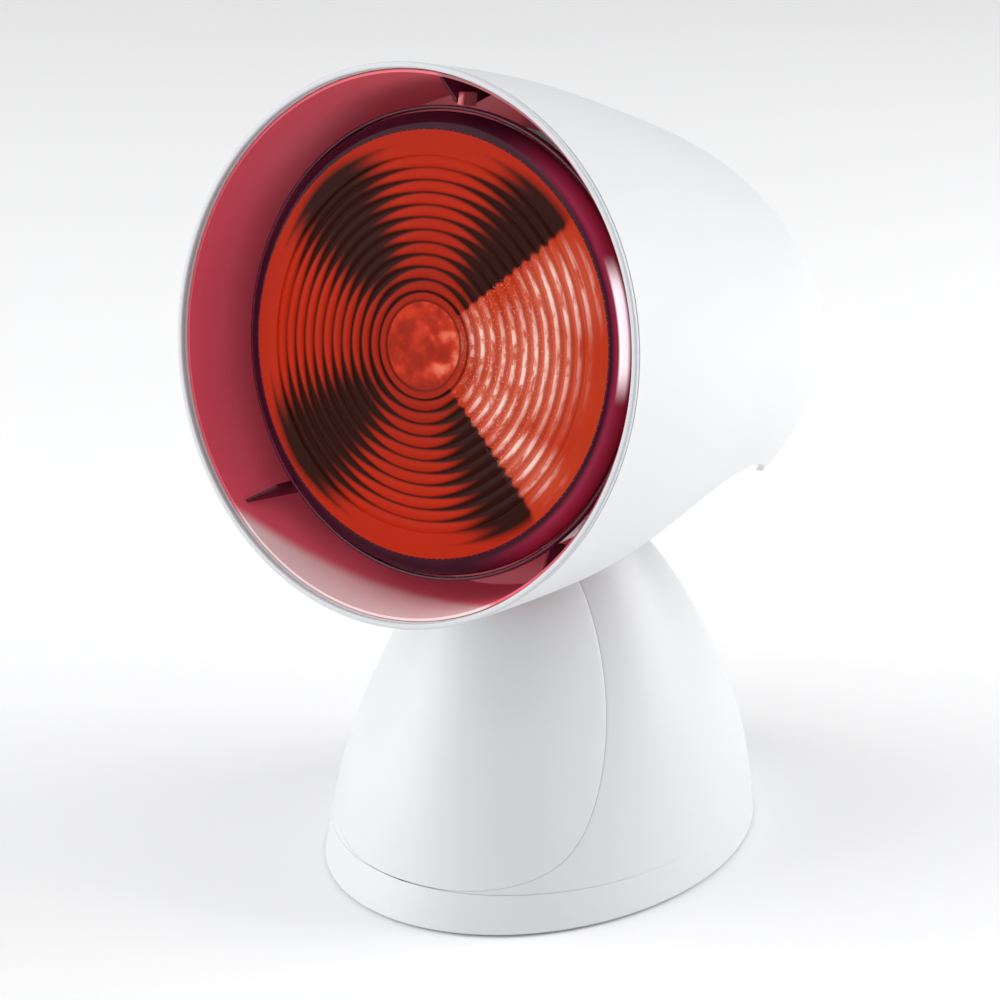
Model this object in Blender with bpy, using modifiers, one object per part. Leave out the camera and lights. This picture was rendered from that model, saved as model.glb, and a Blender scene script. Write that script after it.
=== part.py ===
"""Infrared heat lamp: a round shade that tilts on a rounded stand.

Run with: blender --background --python part.py
Lengths are metres, +Z is up, the shade's mouth faces -Y and the stand rests on Z = 0.
"""

import math

import bmesh
import bpy
import numpy as np
from mathutils import Matrix, Vector

MM = 0.001
DEGREE = math.pi / 180

# Clearances that every piece shares
GAP = 0.3 * MM
OVERRUN = 5 * MM
MERGE = 0.01 * MM

# Bulb: a pressed glass reflector lamp with a screw cap
BULB_RADIUS = 60.5 * MM
BULB_LENGTH = 136 * MM
BULB_RING_BACK = 18.8 * MM
BULB_CROWN = 8.5 * MM
LENS_RADIUS = 56 * MM
LENS_THICKNESS = 2.5 * MM
BULB_GLASS = 1.5 * MM
BULB_NECK_SHARES = ((1, 0), (0.985, 0.05), (0.91, 0.19), (0.76, 0.395), (0.58, 0.60), (0.43, 0.76))
BULB_COLLAR_SHARES = ((0.335, 0.88), (0.27, 0.965), (0.215, 1))
CAP_RADIUS = 13.0 * MM
CAP_SHEET = 0.8 * MM
CAP_LENGTH = 21 * MM
CAP_THREADS = 4
CAP_THREAD_HEIGHT = 0.35 * MM
CAP_THREADED_SHARE = 0.8
INSULATOR_RADIUS = 9.4 * MM
INSULATOR_HEIGHT = 3.0 * MM
CONTACT_RADIUS = 4.6 * MM
CONTACT_HEIGHT = 1.4 * MM
STEM_RADIUS = 6 * MM
STEM_LENGTH = 34 * MM
STEM_SHARES = ((1, 0), (0.8, 0.6), (0.4, 1))
FILAMENT_RADIUS = 1.0 * MM
FILAMENT_SPAN = 9 * MM

# Stand: its body and its front cover are ellipses at every level
STAND_HALF_WIDTH = 57.4 * MM
STAND_HALF_DEPTH = 72.2 * MM
STAND_LEVELS_HEIGHT = 115 * MM
STAND_WALL = 2.5 * MM
STAND_LIFT = 1.0 * MM
DOME_CUT = 17 * MM
DOME_HEIGHT = 6.5 * MM
DOME_START = STAND_LEVELS_HEIGHT - DOME_CUT
DOME_TOP = DOME_START + DOME_HEIGHT
LEVEL_SHARES = (0, 0.261, 0.522, 0.783, 1)
BODY_WIDTH_SHARES = (1, 0.941, 0.761, 0.497, 0.186)
BODY_DEPTH_SHARES = (1, 0.867, 0.652, 0.377, 0.078)
BODY_SHIFT_SHARES = (0, 0.025, 0.043, 0.017, -0.036)
COVER_WIDTH_SHARES = (0.993, 0.890, 0.706, 0.460, 0.176)
COVER_DEPTH_SHARES = (0.963, 0.892, 0.738, 0.503, 0.199)
COVER_SHIFT_SHARES = (0.004, -0.011, 0.007, 0.057, 0.133)
DOME_RING_SHARES = ((0.45, 0.97), (0.8, 0.84), (0.95, 0.6))
COVER_LEDGE = 2 * MM
COVER_TOP = DOME_START - COVER_LEDGE
SEAM_APEX_Y = 10 * MM
SEAM_REACH_SHARE = 3
SEAM_TIP = 0.05 * MM

# Stand bottom: plate, feet, bosses and ballast
PLATE_BOTTOM = 2.0 * MM
PLATE_THICKNESS = 2.5 * MM
WALL_SLOPE_SHARE = 1.12
BOSS_PLACE_SHARES = (0.6185, 0.554)
BOSS_X = STAND_HALF_WIDTH * BOSS_PLACE_SHARES[0]
BOSS_Y = STAND_HALF_DEPTH * BOSS_PLACE_SHARES[1]
BOSS_RADIUS = 5 * MM
BOSS_RIB = 3 * MM
BOSS_TOP = 16 * MM
FOOT_RADIUS = 6.5 * MM
FOOT_BORE = 3.8 * MM
BALLAST_MARGIN_X = 23.4 * MM
BALLAST_MARGIN_Y = 28.2 * MM
BALLAST_HALF_WIDTH = STAND_HALF_WIDTH - BALLAST_MARGIN_X
BALLAST_HALF_DEPTH = STAND_HALF_DEPTH - BALLAST_MARGIN_Y
BALLAST_THICKNESS = 6 * MM

# Screws
SCREW_RADIUS = 1.5 * MM
SCREW_HEAD_RADIUS = 3.0 * MM
SCREW_HEAD_HEIGHT = 1.2 * MM
SCREW_HEAD_SHARES = (0.8, 0.6)
BASE_SCREW_LENGTH = 11 * MM
SHORT_SCREW_LENGTH = 7 * MM

# Mast and yoke, which carry the tilt axis
TILT_AXIS_Y = 6 * MM
TILT_AXIS_DEPTH = 9 * MM
TILT_AXIS_Z = DOME_START - TILT_AXIS_DEPTH
MAST_RADIUS = 11 * MM
MAST_BORE = 9 * MM
MAST_FLANGE = 2 * MM
MAST_FOOT_RADIUS = 20 * MM
MAST_HEAD_RADIUS = 16.5 * MM
YOKE_HEIGHT = 25 * MM
YOKE_FLOOR_Z = TILT_AXIS_Z - YOKE_HEIGHT
YOKE_SHEET = 2.5 * MM
YOKE_FLOOR_LENGTH = 36 * MM
YOKE_CHEEK_WIDTH = 16 * MM
MAST_FOOT_SCREW_OFFSET = 15.5 * MM
MAST_HEAD_SCREW_OFFSET = 13 * MM

# Hinge stack, from the middle outwards along the tilt axis
BOLT_HEAD_START = 3.2 * MM
BOLT_HEAD_HEIGHT = 3.0 * MM
BOLT_HEAD_RADIUS = 5.0 * MM
BOLT_HEAD_SHARES = (0.85, 0.7)
BOLT_RADIUS = 3.0 * MM
EAR_SHEET = 1.5 * MM
EAR_RADIUS = 7 * MM
FRICTION_WASHER_THICKNESS = 0.6 * MM
FRICTION_WASHER_RADIUS = 7 * MM
SPRING_WASHER_THICKNESS = 0.8 * MM
SPRING_WASHER_RADIUS = 6 * MM
NUT_HEIGHT = 3.5 * MM
NUT_RADIUS = 5.7 * MM
BOLT_TAIL = 0.6 * MM
SLOT_SIDE_GAP = 0.6 * MM
SLOT_REACH = 2.5 * MM
SLOT_DEPTH = 5 * MM
SLOT_FRONT_Y = TILT_AXIS_Y - SLOT_REACH
SLOT_BOTTOM_Z = TILT_AXIS_Z - SLOT_DEPTH

# Shade: round sections behind the rim, whose middles drop slightly
BULB_MARGIN = 12.15 * MM
TAIL_ROOM = 47.9 * MM
RIM_REACH = 74.2 * MM
RIM_RISE = 75.7 * MM
RIM_RADIUS = BULB_RADIUS + BULB_MARGIN
RIM_Y = TILT_AXIS_Y - RIM_REACH
RIM_Z = TILT_AXIS_Z + RIM_RISE
SHADE_TILT = 12.15 * DEGREE
SHADE_LENGTH = BULB_CROWN + BULB_LENGTH + TAIL_ROOM
SHADE_WALL = 1.6 * MM
RIM_DEPTH = 1.5 * MM
RIM_EDGE_SHARES = (0.3, 0.7)
SHADE_LENGTH_SHARES = (0, 0.2, 0.4, 0.6, 0.8, 1)
SHADE_RADIUS_SHARES = (1, 0.9615, 0.8829, 0.7814, 0.5693, 0)
SHADE_DROP_SHARES = (-0.0211, 0.0502)
ARCH_RADIUS = 58 * MM
ARCH_SHIFT = 4 * MM
ARCH_DROP = 29 * MM
CUT_RISE = 17 * MM
ARCH_Y = TILT_AXIS_Y + ARCH_SHIFT
ARCH_Z = TILT_AXIS_Z - ARCH_DROP
CUT_LEVEL_Z = TILT_AXIS_Z + CUT_RISE

# Inside the shade's mouth
LINER_SHEET = 0.7 * MM
LINER_DEPTH = 44 * MM
LINER_BULB_GAP = 3 * MM
GUARD_CLEARANCE = 0.5 * MM
GUARD_THICKNESS = 1.3 * MM
GUARD_FRONT = 13.5 * MM
GUARD_DEPTH = 7 * MM
WEB_SHEET = 1.2 * MM
WEB_START = 6 * MM
WEB_END = 34 * MM
WEB_BACK = 30 * MM
WEB_HEEL = 2.5 * MM
WEB_ANGLES = {"web_top": 90, "web_right": -45, "web_left": -135}
CLIP_WIDTH = 2.0 * MM
CLIP_DEPTH = 6.0 * MM
CLIP_HEIGHT = 3.5 * MM

# Lamp holder and the brackets behind it
SOCKET_RADIUS = 19.5 * MM
SOCKET_BORE = 14.8 * MM
SOCKET_FLOOR = 10 * MM
SLEEVE_SHEET = 0.6 * MM
SLEEVE_RADIUS = 14.4 * MM
TONGUE_RADIUS = 5 * MM
TONGUE_THICKNESS = 1.2 * MM
PLATE_W = -28.5 * MM
BRACKET_SHEET = 1.5 * MM
BRACKET_INSET = 18.5 * MM
BRACKET_HALF_WIDTH = BULB_RADIUS - BRACKET_INSET
BRACKET_FRONT = 103 * MM
BRACKET_BACK = 126 * MM
ARM_TOP_FRONT = 105 * MM
ARM_TOP_BACK = 112 * MM
STIRRUP_HALF_WIDTH = 14 * MM
STIRRUP_FRONT = 106 * MM
STIRRUP_TOP = 14 * MM
STIRRUP_SCREW_X = 10 * MM
STIRRUP_SCREW_V = 120 * MM
SOCKET_SCREW_X = 8.5 * MM
BRACKET_BOSS_EDGE = 3 * MM
BRACKET_BOSS_X = BRACKET_HALF_WIDTH - BRACKET_BOSS_EDGE
BRACKET_BOSS_HALF = 5 * MM
BRACKET_BOSS_HEIGHT = 12 * MM
BRACKET_SCREW_V = 113 * MM

# Switch on the back of the stand
SWITCH_Z = 42 * MM
PAD_RISE = 1.4 * MM
PAD_DEPTH = 6.5 * MM
PAD_HALF_WIDTH = 11.5 * MM
PAD_HALF_HEIGHT = 15.5 * MM
PAD_BEVEL = 1.2 * MM
SWITCH_HALF_WIDTH = 6.5 * MM
SWITCH_HALF_HEIGHT = 9.8 * MM
SWITCH_DEPTH = 16 * MM
SWITCH_FLANGE = 1.6 * MM
SWITCH_FLANGE_REACH = 2.2 * MM
SWITCH_WALL = 1.4 * MM
ROCKER_POCKET = 7.2 * MM
ROCKER_AXIS_DEPTH = 1.2 * MM
ROCKER_TILT = 8 * DEGREE
ROCKER_HALF_HEIGHT = 7.4 * MM
ROCKER_RISE = 3.0 * MM
ROCKER_DIP = 1.2 * MM
ROCKER_KEEL = 4.4 * MM
ROCKER_WAIST_SHARE = 0.95
ROCKER_KEEL_ANGLES = (240, 120)

# Cord inlet below the switch
INLET_Z = 16.5 * MM
INLET_PAD_RADIUS = 9.5 * MM
INLET_PAD_DEPTH = 8 * MM
INLET_PAD_RISE = 2.6 * MM
GLAND_BORE = 3.5 * MM
GLAND_NECK_RADIUS = 4.8 * MM
GLAND_FLANGE_RADIUS = 7.2 * MM
GLAND_FLANGE = 2.6 * MM
GLAND_EDGE_SHARE = 0.8
GLAND_NOSE = 4.5 * MM
GLAND_TAIL = 4.5 * MM
GLAND_NUT_RADIUS = 7.6 * MM
GLAND_NUT_HEIGHT = 3.0 * MM

# Wiring in the stand and in the shade
TERMINAL_WIDTH = 24 * MM
TERMINAL_DEPTH = 15 * MM
TERMINAL_HEIGHT = 12 * MM
TERMINAL_CENTRE_X = -14 * MM
TERMINAL_INSET = 18 * MM
TERMINAL_CENTRE_Y = TERMINAL_INSET - BALLAST_HALF_DEPTH
LEAD_RADIUS = 2.2 * MM
WIRE_RADIUS = 1.2 * MM
LEAD_SMOOTHING = 4
RISER_SHARES = (0.2, 0.6)
HEAD_LEAD_SHARES = (1.6, 3, 0.7)

# Which side of the middle a piece of a pair lies on
SIDES = (("left", -1), ("right", 1))
ENDS = (("front", -1), ("rear", 1))

# Faceting
STAND_SIDES = 48
SHADE_SIDES = 48
TURNED_STEPS = 48
SMALL_STEPS = 20
SCREW_STEPS = 10
CROWN_POINTS = 5
STAND_RINGS = 12
SHADE_RINGS = 12
COVER_RINGS = 12
SEAM_RINGS = 16


def natural_spline(places, values):
    """Return the natural cubic spline through the values as a function."""
    steps = np.diff(places)
    slopes = np.diff(values) / steps
    system = np.eye(len(places))
    target = np.zeros(len(places))
    for i in range(1, len(places) - 1):
        system[i, i - 1:i + 2] = steps[i - 1], 2 * (steps[i - 1] + steps[i]), steps[i]
        target[i] = 6 * (slopes[i] - slopes[i - 1])
    bends = np.linalg.solve(system, target)

    def at(place):
        i = int(np.clip(np.searchsorted(places, place) - 1, 0, len(steps) - 1))
        step = steps[i]
        near = places[i + 1] - place
        far = place - places[i]
        curve = (bends[i] * near**3 + bends[i + 1] * far**3) / (6 * step)
        left = (values[i] / step - bends[i] * step / 6) * near
        right = (values[i + 1] / step - bends[i + 1] * step / 6) * far
        return float(curve + left + right)

    return at


def section_track(width_shares, depth_shares, shift_shares):
    """Return a function from height to half width, half depth and middle of an ellipse."""
    levels = [share * STAND_LEVELS_HEIGHT for share in LEVEL_SHARES]
    width = natural_spline(levels, [share * STAND_HALF_WIDTH for share in width_shares])
    depth = natural_spline(levels, [share * STAND_HALF_DEPTH for share in depth_shares])
    shift = natural_spline(levels, [share * STAND_HALF_DEPTH for share in shift_shares])
    return lambda z: (width(z), depth(z), shift(z))


body_section = section_track(BODY_WIDTH_SHARES, BODY_DEPTH_SHARES, BODY_SHIFT_SHARES)
cover_section = section_track(COVER_WIDTH_SHARES, COVER_DEPTH_SHARES, COVER_SHIFT_SHARES)
shade_square = natural_spline(
    [share * SHADE_LENGTH for share in SHADE_LENGTH_SHARES],
    [(share * RIM_RADIUS) ** 2 for share in SHADE_RADIUS_SHARES],
)


def shade_radius(v):
    """Return the shade's outer radius at a distance behind the rim."""
    return math.sqrt(max(shade_square(v), 0))


def shade_drop(v):
    """Return how far the middle of the shade's section lies below its axis."""
    return SHADE_DROP_SHARES[0] * v + SHADE_DROP_SHARES[1] * v**2 / SHADE_LENGTH


def shade_ring(v, inset=0):
    """Return the points of one section of the shade, in the shade's own frame."""
    radius = max(shade_radius(v) - inset, MERGE)
    angles = [2 * math.pi * i / SHADE_SIDES for i in range(SHADE_SIDES)]
    return [
        Vector((radius * math.cos(a), v, radius * math.sin(a) - shade_drop(v))) for a in angles
    ]


def ellipse_ring(section, z, inset=0, share=1):
    """Return the points of an ellipse at one level of the stand."""
    middle = section[2]
    wide, deep = ((half - inset) * share for half in section[:2])
    angles = [2 * math.pi * i / STAND_SIDES for i in range(STAND_SIDES)]
    return [
        Vector((wide * math.cos(a), middle + deep * math.sin(a), z))
        for a in angles
    ]


def spread(start, stop, count):
    """Return evenly spaced values with both ends."""
    return [start + (stop - start) * i / (count - 1) for i in range(count)]


# Scene, collections, frames and finishes

for old in list(bpy.data.objects):
    bpy.data.objects.remove(old)

PARTS = bpy.data.collections.new("infrared_lamp")
CUTTERS = bpy.data.collections.new("cutters")
for collection in (PARTS, CUTTERS):
    bpy.context.scene.collection.children.link(collection)


def add_frame(name, parent, location, tilt=0):
    """Add an empty, turned about X, that carries the pieces of one frame."""
    frame = bpy.data.objects.new(name, None)
    frame.empty_display_size = OVERRUN
    frame.parent = parent
    frame.location = location
    frame.rotation_euler.x = tilt
    PARTS.objects.link(frame)
    return frame


def finish(name, colour, roughness, metallic=0, transmission=0):
    """Make one piece's material."""
    material = bpy.data.materials.new(name)
    material.use_nodes = True
    shader = material.node_tree.nodes["Principled BSDF"]
    shader.inputs["Base Color"].default_value = (*colour, 1)
    shader.inputs["Roughness"].default_value = roughness
    shader.inputs["Metallic"].default_value = metallic
    shader.inputs["Transmission Weight"].default_value = transmission
    material.diffuse_color = (*colour, 1)
    return material


WHITE = ((0.83, 0.84, 0.86), 0.32)
CRIMSON = ((0.42, 0.03, 0.07), 0.25)
RUBY = ((0.10, 0.01, 0.03), 0.08)
ORANGE = ((0.60, 0.06, 0.01), 0.15)
STEEL = ((0.55, 0.56, 0.58), 0.35, 1)
BRASS = ((0.66, 0.48, 0.20), 0.3, 1)
NICKEL = ((0.72, 0.70, 0.66), 0.25, 1)
IRON = ((0.16, 0.16, 0.17), 0.6, 1)
CERAMIC = ((0.80, 0.78, 0.72), 0.5)
BLACK = ((0.02, 0.02, 0.022), 0.5)
GREY = ((0.30, 0.31, 0.33), 0.5)
GLASS = ((0.75, 0.78, 0.80), 0.05)


def middle_of_depth():
    """Return the y of the lamp's middle, from the rim's foot to the back of the shade."""
    front = RIM_Y - RIM_RADIUS * math.sin(SHADE_TILT)
    back = max(
        point.y * math.cos(SHADE_TILT) + point.z * math.sin(SHADE_TILT)
        for v in spread(SHADE_LENGTH / 2, SHADE_LENGTH, TURNED_STEPS)
        for point in shade_ring(v)
    )
    return (front + RIM_Y + back) / 2


LAMP = add_frame("lamp_frame", None, (0, -middle_of_depth(), 0))
TILT = add_frame("tilt_axis", LAMP, (0, TILT_AXIS_Y, TILT_AXIS_Z))
SHADE = add_frame(
    "shade_frame", TILT, (0, RIM_Y - TILT_AXIS_Y, RIM_Z - TILT_AXIS_Z), -SHADE_TILT
)


def in_shade(y, z):
    """Turn a point of the stand's middle plane into the shade's own v and w."""
    across = y - RIM_Y
    up = z - RIM_Z
    v = across * math.cos(SHADE_TILT) - up * math.sin(SHADE_TILT)
    w = across * math.sin(SHADE_TILT) + up * math.cos(SHADE_TILT)
    return v, w


# Modelling helpers

TURN_TO_V = Matrix.Rotation(-math.pi / 2, 4, "X")
STAND_ON_EDGE = Matrix(((0, 0, 1, 0), (1, 0, 0, 0), (0, 1, 0, 0), (0, 0, 0, 1)))


def add_object(name, data, frame, look=None, place=None):
    """Put a shape in its frame, as a piece if it has a look and as a cutter if not."""
    piece = bpy.data.objects.new(name, data)
    piece.parent = frame
    if place is not None:
        piece.matrix_basis = place
    if look:
        data.materials.append(finish(name, *look))
        PARTS.objects.link(piece)
    else:
        CUTTERS.objects.link(piece)
        piece.hide_render = True
        piece.display_type = "WIRE"
    return piece


def mesh_from(name, bm, smooth=False):
    """Turn a bmesh into a mesh whose faces look outward."""
    bmesh.ops.recalc_face_normals(bm, faces=bm.faces)
    for face in bm.faces:
        face.smooth = smooth
    mesh = bpy.data.meshes.new(name)
    bm.to_mesh(mesh)
    bm.free()
    return mesh


def box(name, low, high, frame, look=None, place=None):
    """Make a block between two corners."""
    low, high = Vector(low), Vector(high)
    bm = bmesh.new()
    bmesh.ops.create_cube(bm, size=1)
    bmesh.ops.scale(bm, vec=high - low, verts=bm.verts)
    bmesh.ops.translate(bm, vec=(low + high) / 2, verts=bm.verts)
    return add_object(name, mesh_from(name, bm), frame, look, place)


def rod(name, radius, start, end, frame, look=None, sides=SMALL_STEPS):
    """Make a cylinder between two points."""
    start, end = Vector(start), Vector(end)
    bm = bmesh.new()
    bmesh.ops.create_cone(
        bm, cap_ends=True, segments=sides, radius1=radius, radius2=radius, depth=(end - start).length
    )
    turn = (end - start).to_track_quat("Z", "Y").to_matrix().to_4x4()
    bmesh.ops.transform(bm, matrix=Matrix.Translation((start + end) / 2) @ turn, verts=bm.verts)
    return add_object(name, mesh_from(name, bm, smooth=True), frame, look)


def turned(name, outline, frame, look=None, place=None, steps=TURNED_STEPS, closed=False):
    """Turn an outline of radius and height about Z; its outer side runs downwards."""
    mesh = bpy.data.meshes.new(name)
    count = len(outline)
    edges = [(i, i + 1) for i in range(count - 1)]
    if closed:
        edges.append((count - 1, 0))
    mesh.from_pydata([(radius, 0, height) for radius, height in outline], edges, [])
    piece = add_object(name, mesh, frame, look, place)
    screw = piece.modifiers.new("turn", "SCREW")
    screw.steps = steps
    screw.render_steps = steps
    screw.use_merge_vertices = True
    screw.merge_threshold = MERGE
    screw.use_smooth_shade = True
    return piece


def ring_outline(inner, outer, bottom, top):
    """Return the closed outline of a plain ring."""
    return [(outer, top), (outer, bottom), (inner, bottom), (inner, top)]


def curve_mesh(name, curve):
    """Turn a curve into a mesh with welded caps."""
    holder = bpy.data.objects.new(name, curve)
    CUTTERS.objects.link(holder)
    graph = bpy.context.evaluated_depsgraph_get()
    mesh = bpy.data.meshes.new_from_object(holder.evaluated_get(graph))
    bpy.data.objects.remove(holder)
    bm = bmesh.new()
    bm.from_mesh(mesh)
    bpy.data.meshes.remove(mesh)
    bmesh.ops.remove_doubles(bm, verts=bm.verts, dist=MERGE)
    return mesh_from(name, bm)


def sheet(name, outline, thickness, frame, look=None, place=None, holes=()):
    """Cut a flat outline, with any holes, from a sheet that lies about its own middle plane."""
    curve = bpy.data.curves.new(name, "CURVE")
    curve.dimensions = "2D"
    curve.fill_mode = "BOTH"
    curve.extrude = thickness / 2
    for points in (outline, *holes):
        spline = curve.splines.new("POLY")
        spline.points.add(len(points) - 1)
        for place_of, (x, y) in zip(spline.points, points):
            place_of.co = (x, y, 0, 1)
        spline.use_cyclic_u = True
    return add_object(name, curve_mesh(name, curve), frame, look, place)


def arc(middle, radius, start, stop, count):
    """Return points along an arc, whose angles are in degrees."""
    return [
        (middle[0] + radius * math.cos(a * DEGREE), middle[1] + radius * math.sin(a * DEGREE))
        for a in spread(start, stop, count)
    ]


def circle(middle, radius, count=SMALL_STEPS):
    """Return the points of a full circle."""
    return arc(middle, radius, 0, 360 - 360 / count, count)


def loft(name, rings, frame, look=None, start=None, end=None):
    """Skin rings of equal count; an end stays open, or is closed flat or to a tip."""
    bm = bmesh.new()
    rows = [[bm.verts.new(point) for point in ring] for ring in rings]
    for row, following in zip(rows, rows[1:]):
        for i, vertex in enumerate(row):
            j = (i + 1) % len(row)
            bm.faces.new((vertex, row[j], following[j], following[i]))
    for row, closing in ((rows[0], start), (rows[-1], end)):
        if closing == "flat":
            bm.faces.new(row)
        elif closing is not None:
            tip = bm.verts.new(closing)
            for i, vertex in enumerate(row):
                bm.faces.new((vertex, row[(i + 1) % len(row)], tip))
    return add_object(name, mesh_from(name, bm, smooth=True), frame, look)


def add_wall(piece, thickness):
    """Thicken an open surface inwards."""
    wall = piece.modifiers.new("wall", "SOLIDIFY")
    wall.thickness = thickness
    wall.offset = -1
    wall.use_even_offset = True


def change(piece, operation, other):
    """Cut from, join to or keep within another solid."""
    step = piece.modifiers.new(operation.lower(), "BOOLEAN")
    step.operation = operation
    step.solver = "EXACT"
    step.object = other


def drill(piece, name, start, end, frame, radius=SCREW_RADIUS + GAP, sides=SCREW_STEPS):
    """Cut a round hole between two points."""
    change(piece, "DIFFERENCE", rod(name, radius, start, end, frame, sides=sides))


def screw(name, seat, direction, length, frame):
    """Make a pan head screw; its head stands on the seat and its shank runs the other way."""
    outline = [
        (0, SCREW_HEAD_HEIGHT),
        (SCREW_HEAD_RADIUS * SCREW_HEAD_SHARES[0], SCREW_HEAD_HEIGHT),
        (SCREW_HEAD_RADIUS, SCREW_HEAD_HEIGHT * SCREW_HEAD_SHARES[1]),
        (SCREW_HEAD_RADIUS, 0),
        (SCREW_RADIUS, 0),
        (SCREW_RADIUS, -length),
        (0, -length),
    ]
    turn = Vector(direction).to_track_quat("Z", "Y").to_matrix().to_4x4()
    place = Matrix.Translation(Vector(seat)) @ turn
    return turned(name, outline, frame, STEEL, place, steps=SCREW_STEPS)


def smooth_route(points):
    """Return a route that passes smoothly through its points."""
    points = [Vector(point) for point in points]
    ends = [2 * points[0] - points[1], *points, 2 * points[-1] - points[-2]]
    route = []
    for a, b, c, d in zip(ends, ends[1:], ends[2:], ends[3:]):
        for i in range(LEAD_SMOOTHING):
            t = i / LEAD_SMOOTHING
            bend = (2 * a - 5 * b + 4 * c - d) * t**2 + (3 * b - a - 3 * c + d) * t**3
            route.append(b + ((c - a) * t + bend) / 2)
    return [*route, points[-1]]


def lead(name, points, radius, frame, look):
    """Make a flexible lead along a smooth route."""
    curve = bpy.data.curves.new(name, "CURVE")
    curve.dimensions = "3D"
    curve.bevel_depth = radius
    curve.bevel_resolution = 2
    curve.use_fill_caps = True
    curve.resolution_u = 1
    route = smooth_route(points)
    spline = curve.splines.new("POLY")
    spline.points.add(len(route) - 1)
    for place_of, point in zip(spline.points, route):
        place_of.co = (*point, 1)
    return add_object(name, curve, frame, look)


# Stand


def crease_point(z):
    """Return x and y where the cover's surface crosses the body's at one height."""
    wide, deep, middle = body_section(z)
    cover_wide, cover_deep, cover_middle = cover_section(z)
    body_ratio = (wide / deep) ** 2
    cover_ratio = (cover_wide / cover_deep) ** 2
    roots = np.roots((
        cover_ratio - body_ratio,
        2 * (body_ratio * middle - cover_ratio * cover_middle),
        wide**2 - cover_wide**2 - body_ratio * middle**2 + cover_ratio * cover_middle**2,
    ))
    front = middle - deep
    real = [root.real for root in roots if abs(root.imag) < MERGE and root.real >= front - MERGE]
    y = min(real, default=front)
    return math.sqrt(max(wide**2 - body_ratio * (y - middle) ** 2, 0)), y


def crease_foot():
    """Return the height where the cover's front leaves the body's front."""
    low, high = 0, COVER_TOP / 2
    for _ in range(SMALL_STEPS):
        z = (low + high) / 2
        body = body_section(z)
        cover = cover_section(z)
        if cover[2] - cover[1] < body[2] - body[1]:
            high = z
        else:
            low = z
    return high


def seam_wedge(name, grow):
    """Make the wedge that parts the cover from the body along their crease."""
    foot = crease_foot()
    rings = []
    for i in range(1, SEAM_RINGS + 1):
        share = i / SEAM_RINGS
        z = foot + (COVER_TOP - foot) * (share - 1 / SEAM_RINGS * (1 - share)) ** 2
        x, y = crease_point(z)
        x = max(x + grow, SEAM_TIP)
        level = z + grow * (2 * share - 1)
        far_x = x * SEAM_REACH_SHARE
        far_y = SEAM_APEX_Y + (y - SEAM_APEX_Y) * SEAM_REACH_SHARE
        outline = ((0, SEAM_APEX_Y), (-x, y), (-far_x, far_y), (far_x, far_y), (x, y))
        rings.append([Vector((*point, level)) for point in outline])
    return loft(name, rings, LAMP, start="flat", end="flat")


def back_of_body(z):
    """Return the y of the body's back at one height and how far its face leans back."""
    step = STAND_WALL
    low = body_section(z - step)
    high = body_section(z + step)
    lean = math.atan2(low[1] + low[2] - high[1] - high[2], 2 * step)
    wide, deep, middle = body_section(z)
    return middle + deep, lean


def body_solid(name, inset):
    """Make the body's shape as one closed solid, for keeping bosses inside the wall."""
    levels = spread(STAND_LIFT, DOME_TOP - inset, STAND_RINGS)
    rings = [ellipse_ring(body_section(z), z, inset) for z in levels]
    return loft(name, rings, LAMP, start="flat", end="flat")


def corners():
    """Yield a name and the x and y of each of the four bosses, screws and feet."""
    for depth, y in (("front", -BOSS_Y), ("rear", BOSS_Y)):
        for side, x in (("left", -BOSS_X), ("right", BOSS_X)):
            yield f"{depth}_{side}", x, y


def make_rear_shell():
    """Body of the stand: skirt, sides, back and the dome that hides the hinge."""
    levels = spread(-STAND_WALL, DOME_START, STAND_RINGS)
    rings = [ellipse_ring(body_section(z), z) for z in levels]
    for rise, share in DOME_RING_SHARES:
        z = DOME_START + (DOME_TOP - DOME_START) * rise
        rings.append(ellipse_ring(body_section(DOME_START), z, share=share))
    tip = Vector((0, body_section(DOME_START)[2], DOME_TOP))
    shell = loft("rear_shell", rings, LAMP, WHITE, end=tip)
    add_wall(shell, STAND_WALL)
    reach = STAND_HALF_DEPTH + OVERRUN
    floor = box("floor_cutter", (-reach, -reach, -reach), (reach, reach, STAND_LIFT), LAMP)
    change(shell, "DIFFERENCE", floor)
    change(shell, "DIFFERENCE", seam_wedge("body_seam_cutter", GAP / 2))
    core = body_solid("body_core", STAND_WALL / 2)
    start = PLATE_BOTTOM + PLATE_THICKNESS + GAP
    for name, x, y in corners():
        boss = rod(f"boss_{name}", BOSS_RADIUS, (x, y, start), (x, y, BOSS_TOP), LAMP)
        side = math.copysign(STAND_HALF_WIDTH, x)
        low = (min(x, side), y - BOSS_RIB / 2, start)
        high = (max(x, side), y + BOSS_RIB / 2, BOSS_TOP - GAP)
        change(boss, "UNION", box(f"boss_rib_{name}", low, high, LAMP))
        change(boss, "INTERSECT", core)
        change(shell, "UNION", boss)
    for name, x, y in corners():
        top = PLATE_BOTTOM + BASE_SCREW_LENGTH + GAP
        drill(shell, f"boss_hole_{name}", (x, y, 0), (x, y, top), LAMP)
    half = slot_half_width()
    slot = box(
        "slot_cutter",
        (-half, SLOT_FRONT_Y, SLOT_BOTTOM_Z),
        (half, STAND_HALF_DEPTH, DOME_TOP + OVERRUN),
        LAMP,
    )
    change(shell, "DIFFERENCE", slot)
    return shell


def make_front_cover():
    """Front cover, which meets the body along the crease."""
    foot = crease_foot()
    levels = spread(foot - OVERRUN, COVER_TOP + OVERRUN, COVER_RINGS)
    rings = [ellipse_ring(cover_section(z), z) for z in levels]
    cover = loft("front_cover", rings, LAMP, WHITE)
    add_wall(cover, STAND_WALL)
    change(cover, "INTERSECT", seam_wedge("cover_seam_cutter", -GAP / 2))


def plate_top():
    """Return the height of the bottom plate's upper face."""
    return PLATE_BOTTOM + PLATE_THICKNESS


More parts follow.
